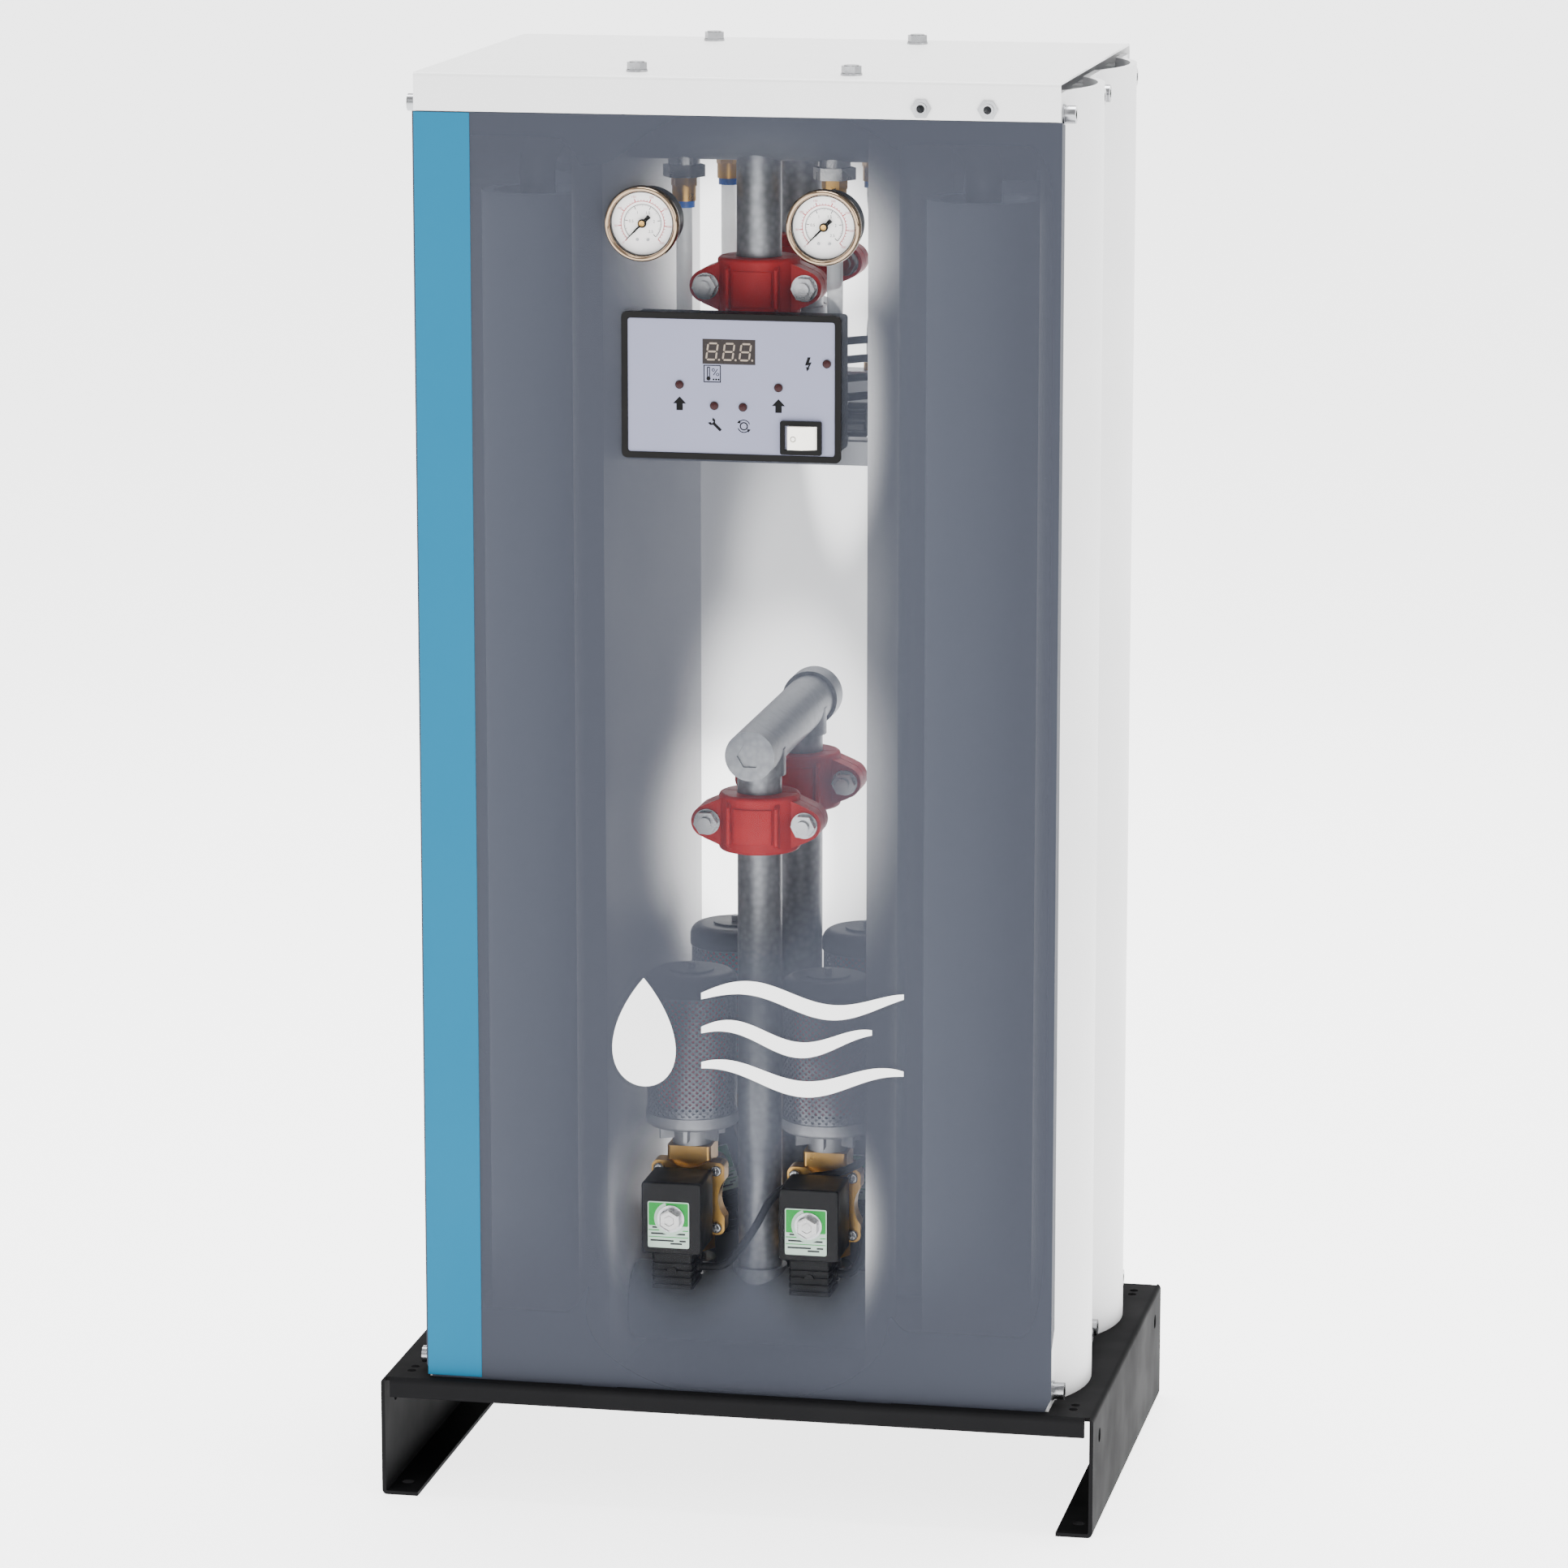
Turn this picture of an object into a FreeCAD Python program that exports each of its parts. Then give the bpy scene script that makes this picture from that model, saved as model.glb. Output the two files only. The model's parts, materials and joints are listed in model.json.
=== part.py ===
import FreeCAD, Part
import os
from math import cos, pi, sin, sqrt, tan

V = FreeCAD.Vector
os.makedirs("parts", exist_ok=True)

# Twin-tower desiccant air dryer, in millimetres. X is to the right, Y to the back, Z up.
# The origin is on the floor under the middle of the base.

# ---------------------------------------------------------------- driving dimensions
# Base of folded sheet
BASE_W = 550.0
BASE_D = 370.0
BASE_H = 93.0
BASE_SHEET = 3.0
BASE_BEND = 4.0
FOOT_W = 28.0
SKIRT_H = 15.0
CORNER_RELIEF = 4.0
ANCHOR_D = 11.0
ANCHOR_DROP = 22.0
ANCHOR_INSET = 33.0
PAIR_HOLE_D = 6.8
PAIR_PITCH = 10.8
PAIR_INSET_X = 18.5
PAIR_INSET_Y = 23.0
FLOOR_HOLE_D = 9.0
FLOOR_HOLE_INSET_Y = 25.0

# Casing: two side shells under one cover
CASE_INSET_X = 35.0
CASE_INSET_Y = 10.0
CASE_TOP = 1088.0
COVER_SHEET = 1.5
COVER_FLANGE = 28.0
COVER_BOLT_X = 80.0
COVER_BOLT_INSET = 37.0
RIVET_NUT_OUT = (39.0, 88.0)
RIVET_NUT_THREAD = 6.0
SHELL_DROP = 8.0
SHELL_WALL = 5.0
SHELL_INSET = 3.0
EAR_INSET = 1.0
BAY_HALF = 99.0
FRONT_LIP_INNER = 23.0
FRONT_LIP_OUTER = 14.0
LOBE_R = 100.0
LOBE_BULGE = 18.5
LOBE_INSET = 91.0
RAIL = 20.0

# Front panel
PANEL_SHEET = 2.0
PANEL_SETBACK = 0.5
PANEL_LAP = 1.2
PANEL_NICK = 5.0
PANEL_FLANGE = 15.0
PANEL_FOOT_FREE = 61.0
STRIPE_W = 42.0
FILM = 0.4
TAB_W = 26.0
TAB_X = 106.0

# Screws: diameter, head diameter, head height
M8_D = 8.0
M8_HEAD_D = 13.0
M8_HEAD_H = 8.0
M8_HEX_AF = 13.0
M8_HEX_H = 5.3
WASHER_D = 16.0
WASHER_T = 1.6
SCREW_REACH = 14.0
SCREW_EAR_INSET = 19.0
SCREW_VALLEY_Y = 14.0
SCREW_FOOT = 12.0
SCREW_DROP = 8.0

# Drying tubes and what they hold
TUBE_OD = 84.0
TUBE_WALL = 9.0
TUBE_DROP = 94.0
PLUG_T = 24.0
PLUG_RECESS = 20.0
SEAL_D = 5.0
SCREEN_T = 2.0
BED_SPRING_L = 40.0
SPACER_WALL = 3.0
DISC_SPRING_R = (15.0, 28.0)
DISC_SPRING_H = 6.0
DISC_SPRING_T = 2.0

# Piping
PIPE_OD = 33.7
PIPE_WALL = 3.2
MANIFOLD_OD = 60.3
MANIFOLD_WALL = 3.6
MANIFOLD_CAP = 5.0
SHUTTLE_DISC = (20.0, 26.0)
SHUTTLE_TRAVEL = 8.0
SHUTTLE_NOTCH_R = 4.0
SHUTTLE_STEM_R = 5.0
SEAT_T = 6.0
SEAT_BORE_R = 15.0
MANIFOLD_INSET = 93.0
UPPER_MANIFOLD_DROP = 39.0
LOWER_MANIFOLD_Z = 137.0
TOWER_PIPE_OD = 26.9
TOWER_PIPE_WALL = 2.6
ELBOW_R = 40.0
RISER_X = 0.0
UPPER_COUPLING_DROP = 162.0
LOWER_COUPLING_Z = 519.0
CROSSOVER_OD = 38.0
CROSSOVER_WALL = 3.2
CROSSOVER_END = 38.0
CROSSOVER_STEP = 56.0
PORT_SOCKET_OD = 44.0
PORT_THREAD_D = 30.3
PORT_DEPTH = 20.0
PIPE_END_GAP = 3.0

# Grooved couplings
COUPLING_H = 44.0
COUPLING_WALL = 14.15
COUPLING_LUG_OUT = 20.65
COUPLING_LUG_R = 12.5
COUPLING_LUG_Y = 15.0
COUPLING_SPLIT = 1.5
GASKET_WALL = 6.65
GASKET_H = 26.0
COUPLING_BOLT_D = 10.0
COUPLING_NUT_AF = 16.0
COUPLING_NUT_H = 8.5

# Exhaust valves and silencers
SILENCER_CLEAR = 0.65
VALVE_Z = 224.0
VALVE_BODY_R = 21.0
VALVE_PORT_R = 15.0
VALVE_TOP = 264.0
VALVE_BOTTOM = 180.0
VALVE_BORE_R = 8.0
BONNET = 57.0
BONNET_T = 7.0
BONNET_PITCH = 45.0
BONNET_FRONT = 16.0
BONNET_SCREW_D = 5.0
BONNET_SCREW_HEAD_D = 8.5
COIL_W = 46.0
COIL_H = 56.0
COIL_D = 44.0
COIL_GAP = 18.0
COIL_TILT = {"rear_left": -18.0}
ARMATURE_R = 6.5
COIL_NUT_AF = 14.0
COIL_NUT_T = 5.0
PLUNGER_R = 4.9
PLUNGER_TRAVEL = 3.0
DIN_W = 32.0
DIN_D = 36.0
DIN_H = 28.0
DIN_GLAND_L = 3.0
DIN_RIB = 1.5
NIPPLE_R = 10.5
SILENCER_R = 35.5
SILENCER_BOTTOM = 278.0
SILENCER_TOP = 404.0
SILENCER_RIM = 12.0
SILENCER_CAP = 20.0
MESH_T = 1.0
ELEMENT_T = 8.0

# Gauges
GAUGE_X = 67.5
GAUGE_DROP = 107.0
GAUGE_BEZEL_D = 56.0
GAUGE_BEZEL_H = 10.0
GAUGE_CASE_D = 49.0
GAUGE_CASE_L = 30.0

# Controller
CONTROLLER_X = -2.0
CONTROLLER_DROP = 226.0
CONTROLLER_W = 164.0
CONTROLLER_H = 108.0
BEZEL_RIM = 4.5
BEZEL_T = 3.0
CONTROLLER_BOX_INSET = 4.0
CONTROLLER_BOX_D = 44.0
CONTROLLER_BOX_WALL = 2.5
DISPLAY_W = 39.5
DISPLAY_H = 18.5
DISPLAY_AT = (-1.5, 26.0)
LAMP_D = 6.4
LAMP_AT = ((-38.5, 1.0), (-12.5, -14.0), (9.0, -14.5), (35.5, 0.5), (71.5, 19.0))
SWITCH_W = 31.0
SWITCH_H = 25.0
SWITCH_AT = (52.5, -36.0)
ROCKER_W = 23.0
ROCKER_H = 17.0
ROCKER_TILT = 10.0
BOARD_T = 1.6

# Air lines, purge block and cables
AIR_LINE_CLEAR = 1.0
AIR_LINE_BOW = (5.0, 24.0)
HEX_AF = 28.0
AIR_LINE_D = 12.0
COLLAR_D = 16.0
CABLE_D = 6.0
CABLE_LANE_INSET = 11.0
CABLE_LANES = (-30.0, -22.0, -14.0, -6.0)
CABLE_EXIT_LEFT = 18.0
CABLE_EXIT_RIGHT = 9.0
CLIP_Z = (430.0, 580.0, 725.0)
GLAND_D = 12.0
GLAND_L = 9.0
VALVE_GLAND_X = 58.0
VALVE_GLAND_PITCH = 14.0
SUPPLY_GLAND_X = -36.0
PURGE_HALF_W = 66.0
PURGE_D = 26.0
PURGE_DROP = 246.0
PURGE_H = 30.0
KNOB_R = 13.0
KNOB_L = 15.0
BAR_T = 4.0
BAR_H = 18.0

GAP = 0.3
TOUCH_GAP = 0.1

# ---------------------------------------------------------------- sizes that follow
FLOOR_TOP = BASE_H
CASE_W = BASE_W - 2 * CASE_INSET_X
CASE_D = BASE_D - 2 * CASE_INSET_Y
CASE_FRONT = -CASE_D / 2
PANEL_FRONT = CASE_FRONT + PANEL_SETBACK
PANEL_BACK = PANEL_FRONT + PANEL_SHEET
COVER_UNDER = CASE_TOP - COVER_SHEET
COVER_BOLT_Y = CASE_D / 2 - COVER_BOLT_INSET
FLANGE_FOOT = CASE_TOP - COVER_FLANGE
SHELL_TOP = CASE_TOP - SHELL_DROP
SHELL_Y = CASE_D / 2 - SHELL_INSET
EAR_X = CASE_W / 2 - EAR_INSET
LOBE_X = EAR_X + LOBE_BULGE - LOBE_R
LOBE_Y = CASE_D / 2 - LOBE_INSET
SCREW_EAR_Y = CASE_D / 2 - SCREW_EAR_INSET
MANIFOLD_Y = CASE_D / 2 - MANIFOLD_INSET
UPPER_MANIFOLD_Z = CASE_TOP - UPPER_MANIFOLD_DROP
TUBE_X = (BAY_HALF + EAR_X) / 2
TUBE_Y = MANIFOLD_Y
TUBE_TOP = CASE_TOP - TUBE_DROP
TUBE_R = TUBE_OD / 2
BORE_R = TUBE_R - TUBE_WALL
MANIFOLD_R = MANIFOLD_OD / 2
MANIFOLD_END = BAY_HALF - GAP
PIPE_R = PIPE_OD / 2
TOWER_PIPE_R = TOWER_PIPE_OD / 2
CROSSOVER_R = CROSSOVER_OD / 2
CROSSOVER_HALF = MANIFOLD_Y + CROSSOVER_END
UPPER_COUPLING_Z = CASE_TOP - UPPER_COUPLING_DROP
COUPLING_BODY_R = PIPE_R + COUPLING_WALL
COUPLING_LUG_X = PIPE_R + COUPLING_LUG_OUT
GASKET_OD = PIPE_OD + 2 * GASKET_WALL
UPPER_CROSSOVER_Z = UPPER_COUPLING_Z - CROSSOVER_STEP
LOWER_CROSSOVER_Z = LOWER_COUPLING_Z + CROSSOVER_STEP
VALVE_X = PIPE_R + SILENCER_R + SILENCER_CLEAR
GAUGE_Z = CASE_TOP - GAUGE_DROP
CONTROLLER_Z = CASE_TOP - CONTROLLER_DROP
CONTROLLER_BACK = PANEL_BACK + CONTROLLER_BOX_D
DROP_X = COUPLING_LUG_X + COUPLING_LUG_R + AIR_LINE_D / 2 + AIR_LINE_CLEAR
PURGE_Z = (CASE_TOP - PURGE_DROP - PURGE_H, CASE_TOP - PURGE_DROP)
CABLE_LANE_X = BAY_HALF - CABLE_LANE_INSET
SIDES = {"left": -1, "right": 1}
ENDS = {"front": -1, "rear": 1}
STACKS = {f"{e}_{s}": (SIDES[s] * VALVE_X, ENDS[e] * MANIFOLD_Y) for e in ENDS for s in SIDES}

nodes = {}


# ---------------------------------------------------------------- shape helpers
AXES = {"x": V(1, 0, 0), "y": V(0, 1, 0), "z": V(0, 0, 1)}


def box(x, y, z):
    """A block between two values on each axis."""
    (x0, x1), (y0, y1), (z0, z1) = sorted(x), sorted(y), sorted(z)
    return Part.makeBox(x1 - x0, y1 - y0, z1 - z0, V(x0, y0, z0))


def place(axis, a, b, along):
    """The point at `along` on an axis, with the other two coordinates a and b in X, Y, Z order."""
    return {"x": V(along, a, b), "y": V(a, along, b), "z": V(a, b, along)}[axis]


def rod(axis, a, b, r, start, end):
    """A cylinder along an axis from start to end."""
    low, high = sorted((start, end))
    return Part.makeCylinder(r, high - low, place(axis, a, b, low), AXES[axis])


def ring(axis, a, b, r_out, r_in, start, end):
    return rod(axis, a, b, r_out, start, end).cut(rod(axis, a, b, r_in, start, end))


def hexagon(axis, a, b, across, start, end, turn=0.0):
    """A hexagonal prism along an axis."""
    low, high = sorted((start, end))
    r = across / sqrt(3)
    corners = []
    for i in range(7):
        t = turn + i * pi / 3
        corners.append(place(axis, a + r * cos(t), b + r * sin(t), low))
    return Part.Face(Part.makePolygon(corners)).extrude(AXES[axis] * (high - low))


def prism(axis, outline, start, end):
    """A closed outline of (a, b) points, drawn square to an axis and run from start to end."""
    low, high = sorted((start, end))
    points = [place(axis, a, b, low) for a, b in outline]
    return Part.Face(Part.makePolygon(points + points[:1])).extrude(AXES[axis] * (high - low))


def join(shapes):
    first, rest = shapes[0], shapes[1:]
    return first.fuse(rest).removeSplitter() if rest else first


def group(shapes):
    """Separate solids that share one node."""
    return Part.makeCompound(shapes)


def rounded(shape, r, axis):
    """The shape with its edges along one axis rounded."""
    edges = [e for e in shape.Edges if abs(e.tangentAt(e.FirstParameter).dot(AXES[axis])) > 0.999]
    return shape.makeFillet(r, edges)


def mirror_x(shape):
    return shape.mirror(V(0, 0, 0), V(1, 0, 0))


def corner_radii(points):
    """The arc radius at each inner point: 0.45 of the shorter run over the tangent of half the turn."""
    radii = []
    for before, at, after in zip(points, points[1:], points[2:]):
        a, b = at - before, after - at
        turn = a.getAngle(b)
        radii.append(0.45 * min(a.Length, b.Length) / tan(turn / 2))
    return radii


def line_path(points):
    """Straight runs joined by tangent arcs."""
    edges, at = [], points[0]
    for radius, before, corner, after in zip(corner_radii(points), points, points[1:], points[2:]):
        a, b = (corner - before).normalize(), (after - corner).normalize()
        half = a.getAngle(b) / 2
        reach = radius * tan(half)
        start, end = corner - a * reach, corner + b * reach
        middle = corner + (b - a).normalize() * (radius / cos(half) - radius)
        edges.append(Part.LineSegment(at, start).toShape())
        edges.append(Part.Arc(start, middle, end).toShape())
        at = end
    edges.append(Part.LineSegment(at, points[-1]).toShape())
    return Part.Wire(edges)


def tube_along(points, diameter):
    """A round cable or hose along a list of points."""
    points = [V(*p) for p in points]
    if len(points) == 2:
        return rod("z", points[0].x, points[0].y, diameter / 2, points[0].z, points[1].z)
    path = line_path(points)
    tangent = points[1] - points[0]
    profile = Part.Wire(Part.Circle(points[0], tangent, diameter / 2).toShape())
    solid = path.makePipeShell([profile], True, False, 2)
    expected = pi * diameter**2 / 4 * path.Length
    radii = [round(r) for r in corner_radii(points)]
    off = 100 * (solid.Volume / expected - 1)
    print(f"  line of {path.Length:.0f} mm, volume off by {off:.2f}%, bends {radii}")
    return solid


# ---------------------------------------------------------------- base and casing
def bent_channel():
    """The base plate with both sides folded down and their feet folded in."""
    outer = rounded(box((-BASE_W / 2, BASE_W / 2), (-BASE_D / 2, BASE_D / 2), (0, BASE_H)), BASE_BEND, "y")
    inner = box((-BASE_W / 2 + BASE_SHEET, BASE_W / 2 - BASE_SHEET), (-BASE_D / 2, BASE_D / 2),
                (BASE_SHEET, BASE_H - BASE_SHEET))
    inner = rounded(inner, BASE_BEND - BASE_SHEET, "y")
    mouth = box((-BASE_W / 2 + FOOT_W, BASE_W / 2 - FOOT_W), (-BASE_D / 2, BASE_D / 2), (-1, BASE_H / 2))
    return outer.cut(inner).cut(mouth)


def skirt(end):
    """The front or rear edge of the base plate, folded down between the corner reliefs."""
    half = BASE_W / 2 - BASE_SHEET - CORNER_RELIEF
    depth = 2 * BASE_BEND
    outer = box((-half, half), (end * (BASE_D / 2 - depth), end * BASE_D / 2), (BASE_H - SKIRT_H, BASE_H))
    inner = box((-half, half), (end * (BASE_D / 2 - depth), end * (BASE_D / 2 - BASE_SHEET)),
                (BASE_H - SKIRT_H, BASE_H - BASE_SHEET))
    top = [e for e in outer.Edges if abs(e.CenterOfMass.y - end * BASE_D / 2) < 1e-6
           and abs(e.CenterOfMass.z - BASE_H) < 1e-6]
    return outer.makeFillet(BASE_BEND, top).cut(inner)


def tab_boxes(clear):
    """The panel's two tabs, or with some clearance their slots in the base plate."""
    return [box((s * TAB_X - TAB_W / 2 - clear, s * TAB_X + TAB_W / 2 + clear),
                (PANEL_FRONT - clear, PANEL_BACK + clear), (BASE_H - BASE_SHEET - 5, BASE_H + 5))
            for s in (-1, 1)]


def base_frame():
    half = BASE_W / 2 - BASE_SHEET - CORNER_RELIEF
    body = bent_channel()
    for end in (-1, 1):
        strip = box((-half - CORNER_RELIEF, half + CORNER_RELIEF),
                    (end * (BASE_D / 2 - BASE_BEND), end * (BASE_D / 2 + 1)),
                    (BASE_H - BASE_SHEET - 1, BASE_H + 1))
        body = body.cut(strip)
    body = join([body, skirt(-1), skirt(1)])
    holes = tab_boxes(0.5)
    for sx in (-1, 1):
        for sy in (-1, 1):
            x = sx * (BASE_W / 2 - PAIR_INSET_X)
            for i in (0, 1):
                y = sy * (BASE_D / 2 - PAIR_INSET_Y - i * PAIR_PITCH)
                holes.append(rod("z", x, y, PAIR_HOLE_D / 2, BASE_H - 2 * BASE_SHEET, BASE_H + 1))
            y = sy * (BASE_D / 2 - ANCHOR_INSET)
            holes.append(rod("x", y, BASE_H - ANCHOR_DROP, ANCHOR_D / 2,
                             sx * (BASE_W / 2 - 2 * BASE_SHEET), sx * (BASE_W / 2 + 1)))
            holes.append(rod("z", sx * (BASE_W / 2 - FOOT_W / 2), sy * (BASE_D / 2 - FLOOR_HOLE_INSET_Y),
                             FLOOR_HOLE_D / 2, -1, BASE_SHEET + 1))
    return body.cut(holes)


def lobes(r, side_half, z0, z1):
    """The two round lobes on the outer side of a shell, kept to what lies outside side_half."""
    keep = box((side_half, EAR_X + LOBE_BULGE + 1), (-SHELL_Y, SHELL_Y), (z0, z1))
    return [rod("z", LOBE_X, s * LOBE_Y, r, z0, z1).common(keep) for s in (-1, 1)]


def shell_right():
    """The right side shell: an extrusion open to the front behind its two lips."""
    z = (FLOOR_TOP, SHELL_TOP)
    outer = join([box((BAY_HALF, EAR_X), (-SHELL_Y, SHELL_Y), z)] + lobes(LOBE_R, EAR_X - 30, *z))
    inner = join([box((BAY_HALF + SHELL_WALL, EAR_X - SHELL_WALL),
                      (-SHELL_Y + SHELL_WALL, SHELL_Y - SHELL_WALL), z)]
                 + lobes(LOBE_R - SHELL_WALL, EAR_X - 30, *z))
    mouth = box((BAY_HALF + FRONT_LIP_INNER, EAR_X - FRONT_LIP_OUTER), (-SHELL_Y - 1, 0), z)
    shell = outer.cut([inner, mouth])
    bosses = []
    for y, zc in shell_screw_places():
        boss = box((EAR_X - SCREW_REACH, EAR_X - SHELL_WALL / 2), (y - 9, y + 9), (zc - 9, zc + 9))
        bosses.append(boss.common(outer))
    shell = join([shell] + bosses)
    holes = [rod("x", y, zc, M8_D / 2, EAR_X - SCREW_REACH - 1, EAR_X + 1) for y, zc in shell_screw_places()]
    for s in (-1, 1):
        for zc in (UPPER_MANIFOLD_Z, LOWER_MANIFOLD_Z):
            holes.append(rod("x", s * MANIFOLD_Y, zc, TOWER_PIPE_R + 1,
                             BAY_HALF - 1, BAY_HALF + SHELL_WALL + 1))
    return shell.cut(holes)


def shell_screw_places():
    ys = (-SCREW_EAR_Y, -SCREW_VALLEY_Y, SCREW_VALLEY_Y, SCREW_EAR_Y)
    return [(y, z) for y in ys for z in (FLOOR_TOP + SCREW_FOOT, SHELL_TOP - SCREW_DROP - WASHER_D / 2)]


def socket_screw(side, y, z):
    """An M8 socket-head screw and its washer, with its head outward."""
    face = side * EAR_X
    washer = rod("x", y, z, WASHER_D / 2 - 0.5, face, face + side * WASHER_T)
    seat = face + side * WASHER_T
    head = rod("x", y, z, M8_HEAD_D / 2, seat, seat + side * M8_HEAD_H)
    socket = hexagon("x", y, z, 6.0, seat + side * M8_HEAD_H / 2, seat + side * (M8_HEAD_H + 1))
    shank = rod("x", y, z, M8_D / 2, seat, face - side * (SCREW_REACH - 1))
    return join([washer, head, shank]).cut(socket)


def top_cover():
    plate = box((-CASE_W / 2, CASE_W / 2), (-CASE_D / 2, CASE_D / 2), (FLANGE_FOOT, CASE_TOP))
    plate = plate.makeFillet(2 * COVER_SHEET, [e for e in plate.Edges
                             if e.CenterOfMass.z > CASE_TOP - 1e-6 and abs(e.CenterOfMass.x) < 1e-6])
    hollow = box((-CASE_W / 2, CASE_W / 2), (-CASE_D / 2 + COVER_SHEET, CASE_D / 2 - COVER_SHEET),
                 (FLANGE_FOOT, COVER_UNDER))
    long = [e for e in hollow.Edges if e.CenterOfMass.z > COVER_UNDER - 1e-6 and abs(e.CenterOfMass.x) < 1e-6]
    cover = plate.cut(hollow.makeFillet(COVER_SHEET, long))
    holes = [rod("z", x, y, M8_D / 2 + GAP, COVER_UNDER - 1, CASE_TOP + 1) for x, y in cover_bolt_places()]
    holes += [rod("y", x, rivet_nut_z(), RIVET_NUT_THREAD, CASE_FRONT - 1, CASE_FRONT + 3)
              for x in rivet_nut_places()]
    return cover.cut(holes)


def rivet_nut_places():
    """Both rivet nuts sit to the right of the bay, inside the mouth of the right shell."""
    return [BAY_HALF + out for out in RIVET_NUT_OUT]


def rivet_nut_z():
    return CASE_TOP - 20.0


def cover_bolt_places():
    return [(sx * COVER_BOLT_X, sy * COVER_BOLT_Y) for sx in (-1, 1) for sy in (-1, 1)]


def cover_rails():
    """Two square bars between the shells that the cover is bolted to."""
    bars = []
    for end in (-1, 1):
        bar = box((-BAY_HALF, BAY_HALF), (end * COVER_BOLT_Y - RAIL / 2, end * COVER_BOLT_Y + RAIL / 2),
                  (COVER_UNDER - RAIL, COVER_UNDER))
        holes = [rod("z", sx * COVER_BOLT_X, end * COVER_BOLT_Y, M8_D / 2,
                     COVER_UNDER - RAIL - 1, COVER_UNDER + 1) for sx in (-1, 1)]
        bars.append(rounded(bar, 1.5, "x").cut(holes))
    return bars


def cover_fasteners():
    """Four hexagon bolts with washers on the cover and two rivet nuts in its front flange."""
    pieces = []
    for x, y in cover_bolt_places():
        washer = rod("z", x, y, WASHER_D / 2, CASE_TOP, CASE_TOP + WASHER_T)
        head = hexagon("z", x, y, M8_HEX_AF, CASE_TOP + WASHER_T, CASE_TOP + WASHER_T + M8_HEX_H)
        crown = rod("z", x, y, M8_HEX_AF / 2 - 1, CASE_TOP + WASHER_T, CASE_TOP + WASHER_T + M8_HEX_H + 0.6)
        shank = rod("z", x, y, M8_D / 2, COVER_UNDER - RAIL + 2, CASE_TOP + WASHER_T)
        pieces.append(join([washer, head, crown, shank]))
    for x in rivet_nut_places():
        flange = hexagon("y", x, rivet_nut_z(), 2.2 * RIVET_NUT_THREAD, CASE_FRONT - 1.2, CASE_FRONT)
        collar = rod("y", x, rivet_nut_z(), RIVET_NUT_THREAD * 0.75, CASE_FRONT - 2.4, CASE_FRONT)
        sleeve = rod("y", x, rivet_nut_z(), RIVET_NUT_THREAD - 0.1, CASE_FRONT - 1.2, CASE_FRONT + 12)
        bore = rod("y", x, rivet_nut_z(), RIVET_NUT_THREAD / 2, CASE_FRONT - 5, CASE_FRONT + 13)
        pieces.append(join([flange, collar, sleeve]).cut(bore))
    return pieces


# ---------------------------------------------------------------- front panel
def panel_top():
    return FLANGE_FOOT - 0.5


def front_panel():
    half = CASE_W / 2 + PANEL_LAP
    face = box((-half, half), (PANEL_FRONT, PANEL_BACK), (FLOOR_TOP + GAP, panel_top()))
    pieces = [face]
    flange_foot = FLOOR_TOP + PANEL_FOOT_FREE
    for s in (-1, 1):
        outline = [(PANEL_FRONT, flange_foot - PANEL_FLANGE), (PANEL_FRONT + PANEL_FLANGE, flange_foot),
                   (PANEL_FRONT + PANEL_FLANGE, panel_top() - 3), (PANEL_FRONT, panel_top())]
        pieces.append(prism("x", outline, s * half, s * (half - PANEL_SHEET)))
    tab_rise = (FLOOR_TOP - 2 * BASE_SHEET, FLOOR_TOP + 2)
    pieces += [t.common(box((-half, half), (PANEL_FRONT, PANEL_BACK), tab_rise)) for t in tab_boxes(0)]
    panel = join(pieces)
    cuts = []
    for s in (-1, 1):
        outline = [(s * half, FLOOR_TOP), (s * (half - PANEL_NICK), FLOOR_TOP),
                   (s * half, FLOOR_TOP + 2 * PANEL_NICK)]
        cuts.append(prism("y", outline, PANEL_FRONT - 1, PANEL_BACK + 1))
        cuts.append(rod("y", s * GAUGE_X, GAUGE_Z, GAUGE_CASE_D / 2 + GAP, PANEL_FRONT - 1, PANEL_BACK + 1))
    cuts.append(box(controller_span(CONTROLLER_BOX_INSET - 1), (PANEL_FRONT - 1, PANEL_BACK + 1),
                    controller_rise(CONTROLLER_BOX_INSET - 1)))
    return panel.cut(cuts)


def blue_stripe():
    edge = -CASE_W / 2
    return box((edge, edge + STRIPE_W), (PANEL_FRONT - FILM, PANEL_FRONT), (FLOOR_TOP + 2, panel_top() - 0.5))


# ---------------------------------------------------------------- drying tubes
def bed_limits():
    low = LOWER_MANIFOLD_Z + TOWER_PIPE_R + 8
    high = TUBE_TOP - PLUG_RECESS - PLUG_T - BED_SPRING_L - SCREEN_T
    return low, high


def drying_tubes():
    tubes = []
    for x, y in tube_places():
        tube = ring("z", x, y, TUBE_R, BORE_R, FLOOR_TOP, TUBE_TOP)
        tubes.append(tube.cut(rod("x", y, LOWER_MANIFOLD_Z, TOWER_PIPE_R, 0, x)))
    return group(tubes)


def tube_places():
    return [(sx * TUBE_X, sy * TUBE_Y) for sx in (-1, 1) for sy in (-1, 1)]


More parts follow.
